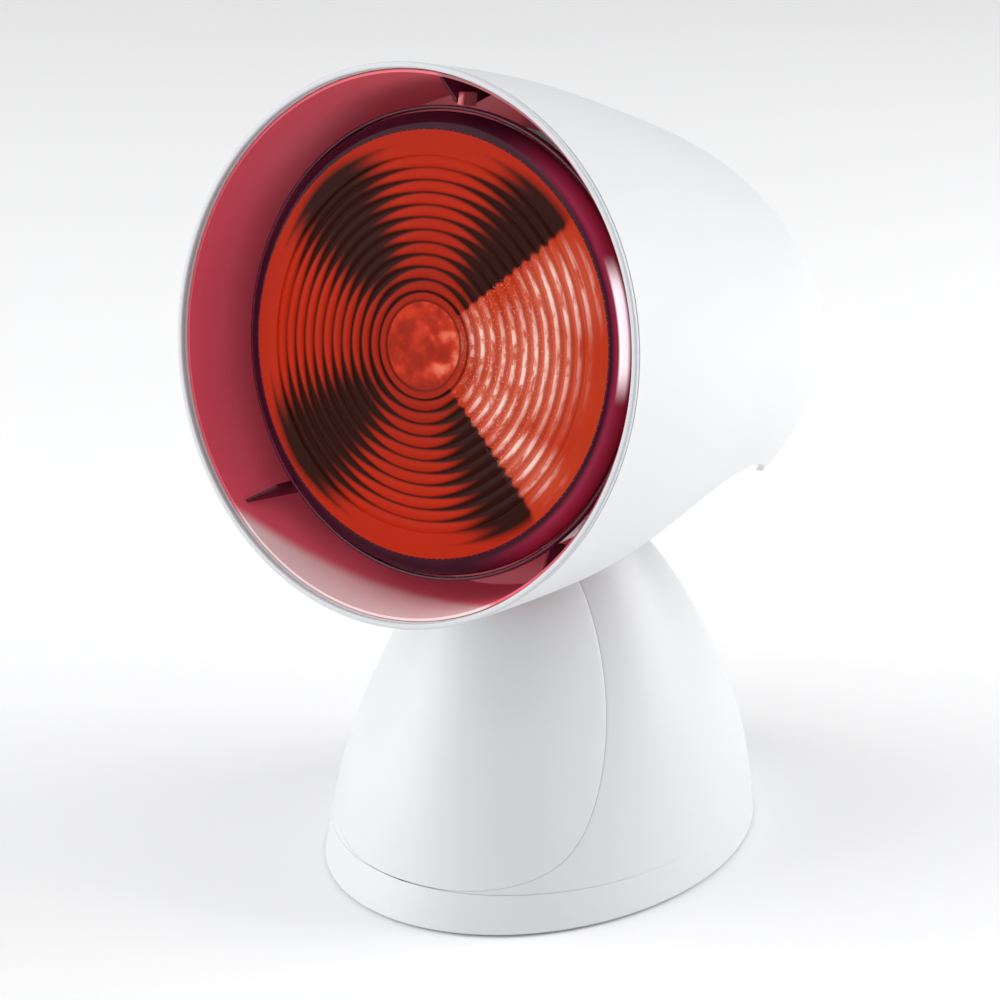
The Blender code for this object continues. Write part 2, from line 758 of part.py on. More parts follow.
def flat_ellipse(half_width, half_depth):
    """Return the outline of an ellipse."""
    angles = [2 * math.pi * i / STAND_SIDES for i in range(STAND_SIDES)]
    return [(half_width * math.cos(a), half_depth * math.sin(a)) for a in angles]


def make_bottom():
    """Bottom plate with its feet and screws, and the ballast that lies on it."""
    wide, deep, _ = body_section(plate_top())
    inset = STAND_WALL * WALL_SLOPE_SHARE + GAP
    plate = sheet(
        "bottom_plate",
        flat_ellipse(wide - inset, deep - inset),
        PLATE_THICKNESS,
        LAMP,
        GREY,
        Matrix.Translation((0, 0, PLATE_BOTTOM + PLATE_THICKNESS / 2)),
    )
    for name, x, y in corners():
        drill(plate, f"plate_hole_{name}", (x, y, 0), (x, y, plate_top() + GAP), LAMP)
        top = PLATE_BOTTOM - GAP
        outline = ring_outline(FOOT_BORE, FOOT_RADIUS, 0, top)
        place = Matrix.Translation((x, y, 0))
        turned(f"foot_{name}", outline, LAMP, BLACK, place, steps=SMALL_STEPS, closed=True)
        seat = (x, y, PLATE_BOTTOM - GAP)
        screw(f"base_screw_{name}", seat, (0, 0, -1), BASE_SCREW_LENGTH, LAMP)
    middle_z = plate_top() + GAP + BALLAST_THICKNESS / 2
    ballast = sheet(
        "ballast_plate",
        flat_ellipse(BALLAST_HALF_WIDTH, BALLAST_HALF_DEPTH),
        BALLAST_THICKNESS,
        LAMP,
        IRON,
        Matrix.Translation((0, 0, middle_z)),
    )
    for side, sign in SIDES:
        x = sign * MAST_FOOT_SCREW_OFFSET
        low = (x, TILT_AXIS_Y, plate_top())
        high = (x, TILT_AXIS_Y, ballast_top() + GAP)
        drill(ballast, f"ballast_hole_{side}", low, high, LAMP)


def ballast_top():
    """Return the height of the ballast's upper face."""
    return plate_top() + GAP + BALLAST_THICKNESS


# Mast, yoke and hinge


def ear_start():
    """Return how far from the middle each ear of the shade's bracket starts."""
    return BOLT_HEAD_START + BOLT_HEAD_HEIGHT + GAP


def slot_half_width():
    """Return half the width of the slot that the ears move in."""
    return ear_start() + EAR_SHEET + SLOT_SIDE_GAP


def hinge_stack():
    """Return where each layer of one side of the hinge starts, from the middle outwards."""
    layers = (
        ("ear", EAR_SHEET),
        ("friction_washer", FRICTION_WASHER_THICKNESS),
        ("cheek", YOKE_SHEET),
        ("spring_washer", SPRING_WASHER_THICKNESS),
        ("nut", NUT_HEIGHT),
    )
    place = ear_start()
    starts = {}
    for name, thickness in layers:
        starts[name] = place
        place += thickness + GAP
    starts["end"] = place
    return starts


def make_mast():
    """Tube that stands on the ballast and carries the yoke."""
    bottom = ballast_top() + GAP
    top = YOKE_FLOOR_Z - GAP
    outline = [
        (MAST_HEAD_RADIUS, top),
        (MAST_HEAD_RADIUS, top - MAST_FLANGE),
        (MAST_RADIUS, top - MAST_FLANGE),
        (MAST_RADIUS, bottom + MAST_FLANGE),
        (MAST_FOOT_RADIUS, bottom + MAST_FLANGE),
        (MAST_FOOT_RADIUS, bottom),
        (MAST_BORE, bottom),
        (MAST_BORE, top),
    ]
    half_step = Matrix.Rotation(math.pi / SMALL_STEPS, 4, "Z")
    place = Matrix.Translation((0, TILT_AXIS_Y, 0)) @ half_step
    mast = turned("mast", outline, LAMP, STEEL, place, steps=SMALL_STEPS, closed=True)
    for side, sign in SIDES:
        x = sign * MAST_FOOT_SCREW_OFFSET
        low = (x, TILT_AXIS_Y, bottom - GAP)
        high = (x, TILT_AXIS_Y, bottom + MAST_FLANGE + GAP)
        drill(mast, f"mast_foot_hole_{side}", low, high, LAMP)
        seat = (x, TILT_AXIS_Y, bottom + MAST_FLANGE + GAP)
        screw(f"mast_screw_{side}", seat, (0, 0, 1), SHORT_SCREW_LENGTH, LAMP)
    for side, sign in ENDS:
        y = TILT_AXIS_Y + sign * MAST_HEAD_SCREW_OFFSET
        low = (0, y, top - MAST_FLANGE - GAP)
        high = (0, y, top + GAP / 2)
        drill(mast, f"mast_head_hole_{side}", low, high, LAMP)
        seat = (0, y, YOKE_FLOOR_Z + YOKE_SHEET + GAP)
        screw(f"yoke_screw_{side}", seat, (0, 0, 1), SHORT_SCREW_LENGTH, LAMP)


def make_yoke():
    """Steel yoke whose two cheeks hold the hinge bolts."""
    cheek = hinge_stack()["cheek"]
    outer = cheek + YOKE_SHEET
    length = YOKE_FLOOR_LENGTH
    half = length / 2
    yoke = sheet(
        "yoke",
        [(-outer, -half), (outer, -half), (outer, half), (-outer, half)],
        YOKE_SHEET,
        LAMP,
        STEEL,
        Matrix.Translation((0, TILT_AXIS_Y, YOKE_FLOOR_Z + YOKE_SHEET / 2)),
    )
    for side, sign in ENDS:
        y = TILT_AXIS_Y + sign * MAST_HEAD_SCREW_OFFSET
        low = (0, y, YOKE_FLOOR_Z - GAP / 2)
        high = (0, y, YOKE_FLOOR_Z + YOKE_SHEET + GAP)
        drill(yoke, f"yoke_hole_{side}", low, high, LAMP)
    radius = YOKE_CHEEK_WIDTH / 2
    axis = (TILT_AXIS_Y, TILT_AXIS_Z)
    foot = YOKE_FLOOR_Z + YOKE_SHEET / 2
    outline = arc(axis, radius, 0, 180, SMALL_STEPS // 2)
    outline += [(TILT_AXIS_Y - radius, foot), (TILT_AXIS_Y + radius, foot)]
    for side, sign in SIDES:
        place = Matrix.Translation((sign * (cheek + YOKE_SHEET / 2), 0, 0)) @ STAND_ON_EDGE
        plate = sheet(
            f"cheek_{side}", outline, YOKE_SHEET, LAMP, None, place, [circle(axis, BOLT_RADIUS + GAP)]
        )
        change(yoke, "UNION", plate)


def make_hinge():
    """Bolt, washers and nut on each side of the tilt axis."""
    starts = hinge_stack()
    length = starts["end"] + BOLT_TAIL - BOLT_HEAD_START - BOLT_HEAD_HEIGHT
    bolt = [
        (0, BOLT_HEAD_HEIGHT),
        (BOLT_HEAD_RADIUS * BOLT_HEAD_SHARES[0], BOLT_HEAD_HEIGHT),
        (BOLT_HEAD_RADIUS, BOLT_HEAD_HEIGHT * BOLT_HEAD_SHARES[1]),
        (BOLT_HEAD_RADIUS, 0),
        (BOLT_RADIUS, 0),
        (BOLT_RADIUS, -length),
        (0, -length),
    ]
    bore = BOLT_RADIUS + GAP
    for side, sign in SIDES:
        outward = Vector((sign, 0, 0))
        inward_turn = (-outward).to_track_quat("Z", "Y").to_matrix().to_4x4()
        outward_turn = outward.to_track_quat("Z", "Y").to_matrix().to_4x4()
        axis = Matrix.Translation((0, TILT_AXIS_Y, TILT_AXIS_Z))
        seat = Matrix.Translation(outward * (BOLT_HEAD_START + BOLT_HEAD_HEIGHT))
        turned(f"hinge_bolt_{side}", bolt, LAMP, STEEL, axis @ seat @ inward_turn, steps=SMALL_STEPS)
        for name, radius, thickness, look in (
            ("friction_washer", FRICTION_WASHER_RADIUS, FRICTION_WASHER_THICKNESS, BLACK),
            ("spring_washer", SPRING_WASHER_RADIUS, SPRING_WASHER_THICKNESS, STEEL),
        ):
            place = axis @ Matrix.Translation(outward * starts[name]) @ outward_turn
            outline = ring_outline(bore, radius, 0, thickness)
            turned(f"{name}_{side}", outline, LAMP, look, place, steps=SMALL_STEPS, closed=True)
        middle = Matrix.Translation(outward * (starts["nut"] + NUT_HEIGHT / 2))
        hexagon = circle((0, 0), NUT_RADIUS, 6)
        hole = circle((0, 0), bore)
        place = axis @ middle @ outward_turn
        sheet(f"hinge_nut_{side}", hexagon, NUT_HEIGHT, LAMP, STEEL, place, [hole])


# Shade


def make_shade():
    """Outer shell of the shade, its rim, and its liner."""
    start = RIM_DEPTH + GAP
    angles = spread(0, math.pi / 2, SHADE_RINGS)
    depths = [start + (SHADE_LENGTH - start) * math.sin(a) for a in angles[:-1]]
    tip = Vector((0, SHADE_LENGTH, -shade_drop(SHADE_LENGTH)))
    shell = loft("shade_shell", [shade_ring(v) for v in depths], SHADE, WHITE, end=tip)
    add_wall(shell, SHADE_WALL)
    core_rings = [shade_ring(v, SHADE_WALL / 2) for v in depths]
    core = loft("shade_core", core_rings, SHADE, start="flat", end="flat")
    plate_top_w = PLATE_W + BRACKET_SHEET + GAP
    for side, sign in SIDES:
        inner = sign * (BRACKET_BOSS_X - BRACKET_BOSS_HALF)
        outer = sign * RIM_RADIUS
        low = (min(inner, outer), BRACKET_SCREW_V - BRACKET_BOSS_HALF, plate_top_w)
        high_w = plate_top_w + BRACKET_BOSS_HEIGHT
        high = (max(inner, outer), BRACKET_SCREW_V + BRACKET_BOSS_HALF, high_w)
        boss = box(f"bracket_boss_{side}", low, high, SHADE)
        change(boss, "INTERSECT", core)
        change(shell, "UNION", boss)
        x = sign * BRACKET_BOSS_X
        low = (x, BRACKET_SCREW_V, plate_top_w - GAP / 2)
        high = (x, BRACKET_SCREW_V, plate_top_w + SHORT_SCREW_LENGTH)
        drill(shell, f"bracket_boss_hole_{side}", low, high, SHADE)
    change(shell, "DIFFERENCE", arch_cutter())
    near, far = RIM_EDGE_SHARES
    rim = [
        (RIM_RADIUS, RIM_DEPTH),
        (RIM_RADIUS, RIM_DEPTH * near),
        (RIM_RADIUS - SHADE_WALL * near, 0),
        (RIM_RADIUS - SHADE_WALL * far, 0),
        (RIM_RADIUS - SHADE_WALL, RIM_DEPTH * near),
        (RIM_RADIUS - SHADE_WALL, RIM_DEPTH),
    ]
    turned("rim_ring", rim, SHADE, WHITE, TURN_TO_V, closed=True)
    depths = spread(start + GAP, LINER_DEPTH, SHADE_RINGS // 2)
    rings = [shade_ring(v, SHADE_WALL + GAP) for v in depths]
    rings.append(hoop(bowl_radius(LINER_DEPTH) + LINER_BULB_GAP, LINER_DEPTH))
    liner = loft("shade_liner", rings, SHADE, CRIMSON)
    add_wall(liner, LINER_SHEET)


def hoop(radius, v):
    """Return the points of a circle about the shade's axis."""
    angles = [2 * math.pi * i / SHADE_SIDES for i in range(SHADE_SIDES)]
    return [Vector((radius * math.cos(a), v, radius * math.sin(a))) for a in angles]


def bowl_radius(v):
    """Return the outer radius of the bulb's bowl at a distance behind the rim."""
    radii, depths = zip(*bowl_outline())
    return float(np.interp(v, depths, radii))


def arch_cutter():
    """Make the cutter for the arch that the stand's dome enters, open at the back."""
    start = math.asin((CUT_LEVEL_Z - ARCH_Z) / ARCH_RADIUS) / DEGREE
    outline = arc((ARCH_Y, ARCH_Z), ARCH_RADIUS, start, 180, SMALL_STEPS)
    back = SHADE_LENGTH
    outline += [(ARCH_Y - ARCH_RADIUS, 0), (back, 0), (back, CUT_LEVEL_Z)]
    width = 2 * (RIM_RADIUS + OVERRUN)
    return sheet("arch_cutter", outline, width, LAMP, None, STAND_ON_EDGE)


def liner_wall(v, angle):
    """Return how far from the axis the liner's inner face lies in one direction."""
    inset = SHADE_WALL + GAP + LINER_SHEET + GAP
    return shade_radius(v) - inset - shade_drop(v) * math.sin(angle * DEGREE)


def make_guard():
    """Ring around the bulb and the three webs that carry it."""
    inner = BULB_RADIUS + GUARD_CLEARANCE
    outer = inner + GUARD_THICKNESS
    back = GUARD_FRONT + GUARD_DEPTH
    turned(
        "guard_ring", ring_outline(inner, outer, GUARD_FRONT, back), SHADE, CRIMSON, TURN_TO_V, closed=True
    )
    for name, angle in WEB_ANGLES.items():
        wall = [(liner_wall(v, angle), v) for v in spread(WEB_START, WEB_END, 6)]
        heel = (liner_wall(WEB_BACK, angle) - WEB_HEEL, WEB_BACK)
        outline = [*wall, heel, (outer + GAP, back), (outer + GAP, GUARD_FRONT)]
        place = Matrix.Rotation(-angle * DEGREE, 4, "Y")
        sheet(name, outline, WEB_SHEET, SHADE, CRIMSON, place)
    x = WEB_SHEET / 2 + GAP
    low = Vector((x, GUARD_FRONT, outer + GAP))
    high = low + Vector((CLIP_WIDTH, CLIP_DEPTH, CLIP_HEIGHT))
    box("web_clip", low, high, SHADE, CRIMSON)


# Bulb


def bulb_end():
    """Return where the bulb's glass ends and its screw cap starts."""
    total = CAP_LENGTH + INSULATOR_HEIGHT + CONTACT_HEIGHT + 3 * GAP
    return BULB_CROWN + BULB_LENGTH - total


def bowl_outline():
    """Return the outside of the bowl from its ring to its neck, as radius and depth."""
    start = BULB_RING_BACK + GAP
    depth = bulb_end() - start
    shares = (*BULB_NECK_SHARES, *BULB_COLLAR_SHARES)
    return [(share * BULB_RADIUS, start + place * depth) for share, place in shares]


def make_bulb():
    """Ribbed front glass, reflector bowl, cap, insulator, contact, stem and filament."""
    ring_front = BULB_RING_BACK - LENS_THICKNESS
    step = (BULB_RADIUS - LENS_RADIUS) / 2
    crown = [
        (LENS_RADIUS * share, BULB_CROWN + (ring_front - step - BULB_CROWN) * share**2)
        for share in spread(1, 0, CROWN_POINTS)
    ]
    inside = [(radius, depth + LENS_THICKNESS) for radius, depth in reversed(crown)]
    lens = [*inside, (BULB_RADIUS - step, BULB_RING_BACK), (BULB_RADIUS, BULB_RING_BACK)]
    lens += [(BULB_RADIUS, ring_front + step), (BULB_RADIUS - step, ring_front), *crown]
    turned("bulb_lens", lens, SHADE, ORANGE, TURN_TO_V)
    outside = bowl_outline()
    inner = [(radius - BULB_GLASS, depth) for radius, depth in outside[:-1]]
    end = outside[-1][1]
    seat = (outside[-1][0] - BULB_GLASS, end - BULB_GLASS)
    bowl = [(0, end), *reversed(outside), *inner, seat, (0, end - BULB_GLASS)]
    turned("bulb_bowl", bowl, SHADE, RUBY, TURN_TO_V)
    make_cap(bulb_end() + GAP)
    foot = end - BULB_GLASS - GAP
    tip = foot - STEM_LENGTH
    side = [(STEM_RADIUS * wide, foot - STEM_LENGTH * along) for wide, along in STEM_SHARES]
    stem = [(0, foot), *side, (0, tip)]
    turned("bulb_stem", stem, SHADE, GLASS, TURN_TO_V, steps=SMALL_STEPS)
    front = tip - GAP - FILAMENT_RADIUS
    half = FILAMENT_SPAN / 2
    points = [
        (-half, front, 0),
        (-half / 2, front, half / 2),
        (half / 2, front, half / 2),
        (half, front, 0),
    ]
    lead("bulb_filament", points, FILAMENT_RADIUS, SHADE, NICKEL)


def make_cap(start):
    """Screw cap with its thread, glass insulator and centre contact."""
    end = start + CAP_LENGTH
    threaded = CAP_LENGTH * CAP_THREADED_SHARE
    root = CAP_RADIUS - CAP_THREAD_HEIGHT
    outline = [(INSULATOR_RADIUS, end)]
    for i in range(2 * CAP_THREADS + 1):
        place = start + threaded * (1 - i / (2 * CAP_THREADS))
        outline.append((root + CAP_THREAD_HEIGHT * (i % 2), place))
    inner = root - CAP_SHEET
    outline += [(inner, start), (inner, start + threaded), (INSULATOR_RADIUS - CAP_SHEET, end)]
    turned("bulb_cap", outline, SHADE, NICKEL, TURN_TO_V, steps=SMALL_STEPS, closed=True)
    foot = end + GAP
    top = foot + INSULATOR_HEIGHT
    insulator = [
        (0, top), (CONTACT_RADIUS, top), (INSULATOR_RADIUS - CAP_SHEET, foot), (0, foot),
    ]
    turned("bulb_insulator", insulator, SHADE, BLACK, TURN_TO_V, steps=SMALL_STEPS)
    foot = top + GAP
    top = foot + CONTACT_HEIGHT
    contact = [(0, top), (CONTACT_RADIUS / 2, top), (CONTACT_RADIUS, foot), (0, foot)]
    turned("bulb_contact", contact, SHADE, BRASS, TURN_TO_V, steps=SMALL_STEPS)


# Lamp holder and brackets


def socket_places():
    """Return where the lamp holder's mouth, floor and back lie behind the rim."""
    mouth = bulb_end() + 3 * GAP
    floor = BULB_CROWN + BULB_LENGTH + GAP + TONGUE_THICKNESS + GAP
    return mouth, floor, floor + SOCKET_FLOOR


def make_socket():
    """Ceramic lamp holder with its threaded sleeve and contact tongue."""
    mouth, floor, back = socket_places()
    outline = [
        (0, back), (SOCKET_RADIUS, back), (SOCKET_RADIUS, mouth),
        (SOCKET_BORE, mouth), (SOCKET_BORE, floor), (0, floor),
    ]
    socket = turned("socket_body", outline, SHADE, CERAMIC, TURN_TO_V, steps=SMALL_STEPS)
    for side, sign in SIDES:
        x = sign * SOCKET_SCREW_X
        start = (x, back - SHORT_SCREW_LENGTH, 0)
        drill(socket, f"socket_hole_{side}", start, (x, back + GAP / 2, 0), SHADE)
        seat = (x, back + GAP + BRACKET_SHEET + GAP, 0)
        screw(f"socket_screw_{side}", seat, (0, 1, 0), SHORT_SCREW_LENGTH, SHADE)
    sleeve = ring_outline(SLEEVE_RADIUS - SLEEVE_SHEET, SLEEVE_RADIUS, mouth + GAP, floor - GAP)
    turned("socket_sleeve", sleeve, SHADE, BRASS, TURN_TO_V, steps=SMALL_STEPS, closed=True)
    start = floor - GAP - TONGUE_THICKNESS
    rod("socket_tongue", TONGUE_RADIUS, (0, start, 0), (0, floor - GAP, 0), SHADE, BRASS)


def make_hinge_bracket():
    """Steel bracket: a cross plate on the shade's bosses and two arms down to the bolts."""
    half = BRACKET_HALF_WIDTH
    middle = PLATE_W + BRACKET_SHEET / 2
    bracket = sheet(
        "hinge_bracket",
        [(-half, BRACKET_FRONT), (half, BRACKET_FRONT), (half, BRACKET_BACK), (-half, BRACKET_BACK)],
        BRACKET_SHEET,
        SHADE,
        STEEL,
        Matrix.Translation((0, 0, middle)),
    )
    axis = in_shade(TILT_AXIS_Y, TILT_AXIS_Z)
    outline = arc(axis, EAR_RADIUS, 180, 360, SMALL_STEPS // 2)
    outline += [(ARM_TOP_BACK, middle), (ARM_TOP_FRONT, middle)]
    x = ear_start() + EAR_SHEET / 2
    for side, sign in SIDES:
        place = Matrix.Translation((sign * x, 0, 0)) @ STAND_ON_EDGE
        arm = sheet(
            f"arm_{side}", outline, EAR_SHEET, SHADE, None, place, [circle(axis, BOLT_RADIUS + GAP)]
        )
        change(bracket, "UNION", arm)
        for name, x_hole, v_hole in (
            ("boss", sign * BRACKET_BOSS_X, BRACKET_SCREW_V),
            ("stirrup", sign * STIRRUP_SCREW_X, STIRRUP_SCREW_V),
        ):
            low = (x_hole, v_hole, PLATE_W - GAP)
            high = (x_hole, v_hole, PLATE_W + BRACKET_SHEET + GAP / 2)
            drill(bracket, f"bracket_{name}_hole_{side}", low, high, SHADE)
        seat = (sign * BRACKET_BOSS_X, BRACKET_SCREW_V, PLATE_W - GAP)
        screw(f"bracket_screw_{side}", seat, (0, 0, -1), SHORT_SCREW_LENGTH, SHADE)


def make_stirrup():
    """Angle bracket that holds the lamp holder on the cross plate."""
    back = socket_places()[2] + GAP
    foot = PLATE_W + BRACKET_SHEET + GAP
    outline = [
        (STIRRUP_FRONT, foot),
        (back + BRACKET_SHEET, foot),
        (back + BRACKET_SHEET, STIRRUP_TOP),
        (back, STIRRUP_TOP),
        (back, foot + BRACKET_SHEET),
        (STIRRUP_FRONT, foot + BRACKET_SHEET),
    ]
    stirrup = sheet("socket_stirrup", outline, 2 * STIRRUP_HALF_WIDTH, SHADE, STEEL, STAND_ON_EDGE)
    for side, sign in SIDES:
        x = sign * STIRRUP_SCREW_X
        low = (x, STIRRUP_SCREW_V, foot - GAP / 2)
        high = (x, STIRRUP_SCREW_V, foot + BRACKET_SHEET + GAP)
        drill(stirrup, f"stirrup_hole_{side}", low, high, SHADE)
        x = sign * SOCKET_SCREW_X
        low = (x, back - GAP / 2, 0)
        high = (x, back + BRACKET_SHEET + GAP / 2, 0)
        drill(stirrup, f"stirrup_back_hole_{side}", low, high, SHADE)
        seat = (sign * STIRRUP_SCREW_X, STIRRUP_SCREW_V, PLATE_W - GAP)
        length = 2 * BRACKET_SHEET + 3 * GAP
        screw(f"stirrup_screw_{side}", seat, (0, 0, -1), length, SHADE)


# Switch and cord inlet


def back_frame(name, z, rise, upright=False):
    """Add a frame on the body's back: its Y looks straight out of the surface, or back."""
    y, lean = back_of_body(z)
    if upright:
        lean = 0
    place = (0, y + rise * math.cos(lean), z + rise * math.sin(lean))
    return add_frame(name, LAMP, place, lean)


def make_switch(shell):
    """Rocker switch in a flat pad on the back of the body."""
    frame = back_frame("switch_frame", SWITCH_Z, PAD_RISE)
    wide, tall = PAD_HALF_WIDTH, PAD_HALF_HEIGHT
    pad = box("switch_pad", (-wide, -PAD_DEPTH, -tall), (wide, 0, tall), frame)
    rounding = pad.modifiers.new("edges", "BEVEL")
    rounding.width = PAD_BEVEL
    rounding.segments = 2
    change(shell, "UNION", pad)
    half_x, half_z = SWITCH_HALF_WIDTH, SWITCH_HALF_HEIGHT
    hole = box(
        "switch_hole_cutter",
        (-half_x - GAP, -SWITCH_DEPTH, -half_z - GAP),
        (half_x + GAP, OVERRUN, half_z + GAP),
        frame,
    )
    change(shell, "DIFFERENCE", hole)
    low = (-half_x, -SWITCH_DEPTH, -half_z)
    housing = box("switch_housing", low, (half_x, 2 * GAP, half_z), frame, BLACK)
    reach = SWITCH_FLANGE_REACH
    flange = box(
        "switch_flange",
        (-half_x - reach, GAP, -half_z - reach),
        (half_x + reach, GAP + SWITCH_FLANGE, half_z + reach),
        frame,
    )
    change(housing, "UNION", flange)
    pocket_x = half_x - SWITCH_WALL
    pocket_z = half_z - SWITCH_WALL
    pocket = box(
        "rocker_pocket_cutter",
        (-pocket_x, -ROCKER_POCKET, -pocket_z),
        (pocket_x, OVERRUN, pocket_z),
        frame,
    )
    change(housing, "DIFFERENCE", pocket)
    axis = add_frame("rocker_axis", frame, (0, -ROCKER_AXIS_DEPTH, 0), ROCKER_TILT)
    half = ROCKER_HALF_HEIGHT
    rise = ROCKER_RISE + ROCKER_AXIS_DEPTH
    dip = ROCKER_DIP + ROCKER_AXIS_DEPTH
    waist = half * ROCKER_WAIST_SHARE
    outline = [(rise, half), (dip, 0), (rise, -half), (0, -waist)]
    outline += arc((0, 0), ROCKER_KEEL, *ROCKER_KEEL_ANGLES, SMALL_STEPS // 3)
    outline += [(0, waist)]
    sheet("switch_rocker", outline, 2 * (pocket_x - GAP), axis, BLACK, STAND_ON_EDGE)
    return frame


def make_inlet(shell):
    """Cord gland and its nut in a round pad low on the back of the body."""
    frame = back_frame("inlet_frame", INLET_Z, INLET_PAD_RISE, upright=True)
    pad = rod("inlet_pad", INLET_PAD_RADIUS, (0, -INLET_PAD_DEPTH, 0), (0, 0, 0), frame)
    change(shell, "UNION", pad)
    back = -INLET_PAD_DEPTH - OVERRUN
    hole = rod("inlet_hole_cutter", GLAND_NECK_RADIUS + GAP, (0, back, 0), (0, OVERRUN, 0), frame)
    change(shell, "DIFFERENCE", hole)
    tail = -INLET_PAD_DEPTH - GLAND_TAIL
    outline = [
        (GLAND_BORE + GAP * 3, GAP + GLAND_FLANGE + GLAND_NOSE),
        (GLAND_NECK_RADIUS, GAP + GLAND_FLANGE),
        (GLAND_FLANGE_RADIUS, GAP + GLAND_FLANGE * GLAND_EDGE_SHARE),
        (GLAND_FLANGE_RADIUS, GAP),
        (GLAND_NECK_RADIUS, GAP),
        (GLAND_NECK_RADIUS, tail),
        (GLAND_BORE, tail),
        (GLAND_BORE, GAP + GLAND_FLANGE + GLAND_NOSE),
    ]
    turned("cord_gland", outline, frame, BLACK, TURN_TO_V, steps=SMALL_STEPS, closed=True)
    top = -INLET_PAD_DEPTH - GAP
    nut = ring_outline(GLAND_NECK_RADIUS + GAP, GLAND_NUT_RADIUS, top - GLAND_NUT_HEIGHT, top)
    turned("gland_nut", nut, frame, GREY, TURN_TO_V, steps=SMALL_STEPS, closed=True)


# Wiring


def make_wiring(switch_frame):
    """Terminal block and the leads between the fixed pieces."""
    x, y = TERMINAL_CENTRE_X, TERMINAL_CENTRE_Y
    low = Vector((x - TERMINAL_WIDTH / 2, y - TERMINAL_DEPTH / 2, ballast_top() + GAP))
    high = low + Vector((TERMINAL_WIDTH, TERMINAL_DEPTH, TERMINAL_HEIGHT))
    box("terminal_block", low, high, LAMP, WHITE)
    terminal_top = high.z + GAP
    front = TILT_AXIS_Y - MAST_HEAD_RADIUS - 2 * LEAD_RADIUS
    start = Vector((x + TERMINAL_WIDTH / 4, y, terminal_top))
    rise = YOKE_FLOOR_Z - terminal_top
    riser = [
        start,
        start + Vector((0, 0, rise * RISER_SHARES[0])),
        (0, front - LEAD_RADIUS, terminal_top + rise * RISER_SHARES[1]),
        (0, front - LEAD_RADIUS, YOKE_FLOOR_Z + YOKE_SHEET),
        (0, TILT_AXIS_Y - EAR_RADIUS, TILT_AXIS_Z - 2 * EAR_RADIUS),
        (0, TILT_AXIS_Y, TILT_AXIS_Z - EAR_RADIUS),
        (0, TILT_AXIS_Y, TILT_AXIS_Z - GAP),
    ]
    lead("riser_lead", riser, LEAD_RADIUS, LAMP, GREY)
    back = switch_frame.matrix_basis @ Vector((0, -SWITCH_DEPTH - GAP, 0))
    inward = switch_frame.matrix_basis.to_3x3() @ Vector((0, -SWITCH_DEPTH / 2, 0))
    end = Vector((x - TERMINAL_WIDTH / 4, y, terminal_top))
    clear = -MAST_FOOT_RADIUS
    feed = [
        back,
        back + inward,
        (clear, TILT_AXIS_Y + MAST_RADIUS, (back.z + terminal_top) / 2 + WIRE_RADIUS),
        (clear, TILT_AXIS_Y - MAST_RADIUS, terminal_top + 2 * LEAD_RADIUS),
        end + Vector((0, LEAD_RADIUS, 2 * LEAD_RADIUS)),
        end,
    ]
    lead("switch_lead", feed, WIRE_RADIUS, LAMP, BLACK)


def make_head_lead():
    """Lead in the shade, from the tilt axis to the lamp holder's side."""
    v, w = in_shade(TILT_AXIS_Y, TILT_AXIS_Z)
    plate_w = PLATE_W + BRACKET_SHEET
    above = plate_w + 2 * LEAD_RADIUS
    side = STIRRUP_HALF_WIDTH + 2 * LEAD_RADIUS
    back = socket_places()[2]
    reach = SOCKET_RADIUS + LEAD_RADIUS + GAP
    low, high, across = HEAD_LEAD_SHARES
    points = [
        (0, v, w + LEAD_RADIUS + 2 * GAP),
        (0, v, w + EAR_RADIUS * low),
        (ear_start() / 2, v + LEAD_RADIUS, w + EAR_RADIUS * high),
        (side * across, BRACKET_FRONT - EAR_RADIUS, above - LEAD_RADIUS),
        (side, BRACKET_FRONT + EAR_RADIUS, above),
        (side, BRACKET_BACK, above),
        (reach, (BRACKET_BACK + back) / 2, above / 2),
        (reach, back - OVERRUN, 0),
    ]
    lead("shade_lead", points, LEAD_RADIUS, SHADE, GREY)


body = make_rear_shell()
switch_frame = make_switch(body)
make_inlet(body)
make_front_cover()
make_bottom()
make_mast()
make_yoke()
make_hinge()
make_shade()
make_guard()
make_bulb()
make_socket()
make_hinge_bracket()
make_stirrup()
make_wiring(switch_frame)
make_head_lead()
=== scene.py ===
# %% [markdown]
# # A heat lamp, dressed for the camera
# The lamp is a white nose-cone shade on a rounded white stand. A ribbed orange-red bulb sits in a
# crimson mouth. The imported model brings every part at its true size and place, and this lesson adds
# what a camera sees: smooth shapes, moulded edges, glass ribs and finishes.
#
# Everything is in metres. The mouth faces -Y and the floor is Z = 0.

import math

import bmesh
import bpy
from mathutils import Matrix, Vector


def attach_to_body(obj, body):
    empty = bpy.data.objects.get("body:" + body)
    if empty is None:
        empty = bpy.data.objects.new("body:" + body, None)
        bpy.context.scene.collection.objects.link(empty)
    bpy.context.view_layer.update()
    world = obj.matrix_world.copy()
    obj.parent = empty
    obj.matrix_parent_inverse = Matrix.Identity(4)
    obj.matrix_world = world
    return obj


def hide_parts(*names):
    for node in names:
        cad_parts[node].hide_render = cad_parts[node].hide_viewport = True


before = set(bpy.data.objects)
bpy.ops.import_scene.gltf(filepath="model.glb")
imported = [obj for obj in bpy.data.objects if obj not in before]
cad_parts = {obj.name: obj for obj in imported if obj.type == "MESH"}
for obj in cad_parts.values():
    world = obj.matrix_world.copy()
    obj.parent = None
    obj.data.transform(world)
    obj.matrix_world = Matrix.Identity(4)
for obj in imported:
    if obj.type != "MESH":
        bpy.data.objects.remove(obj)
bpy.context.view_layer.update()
MM = 0.001
DEGREE = math.pi / 180

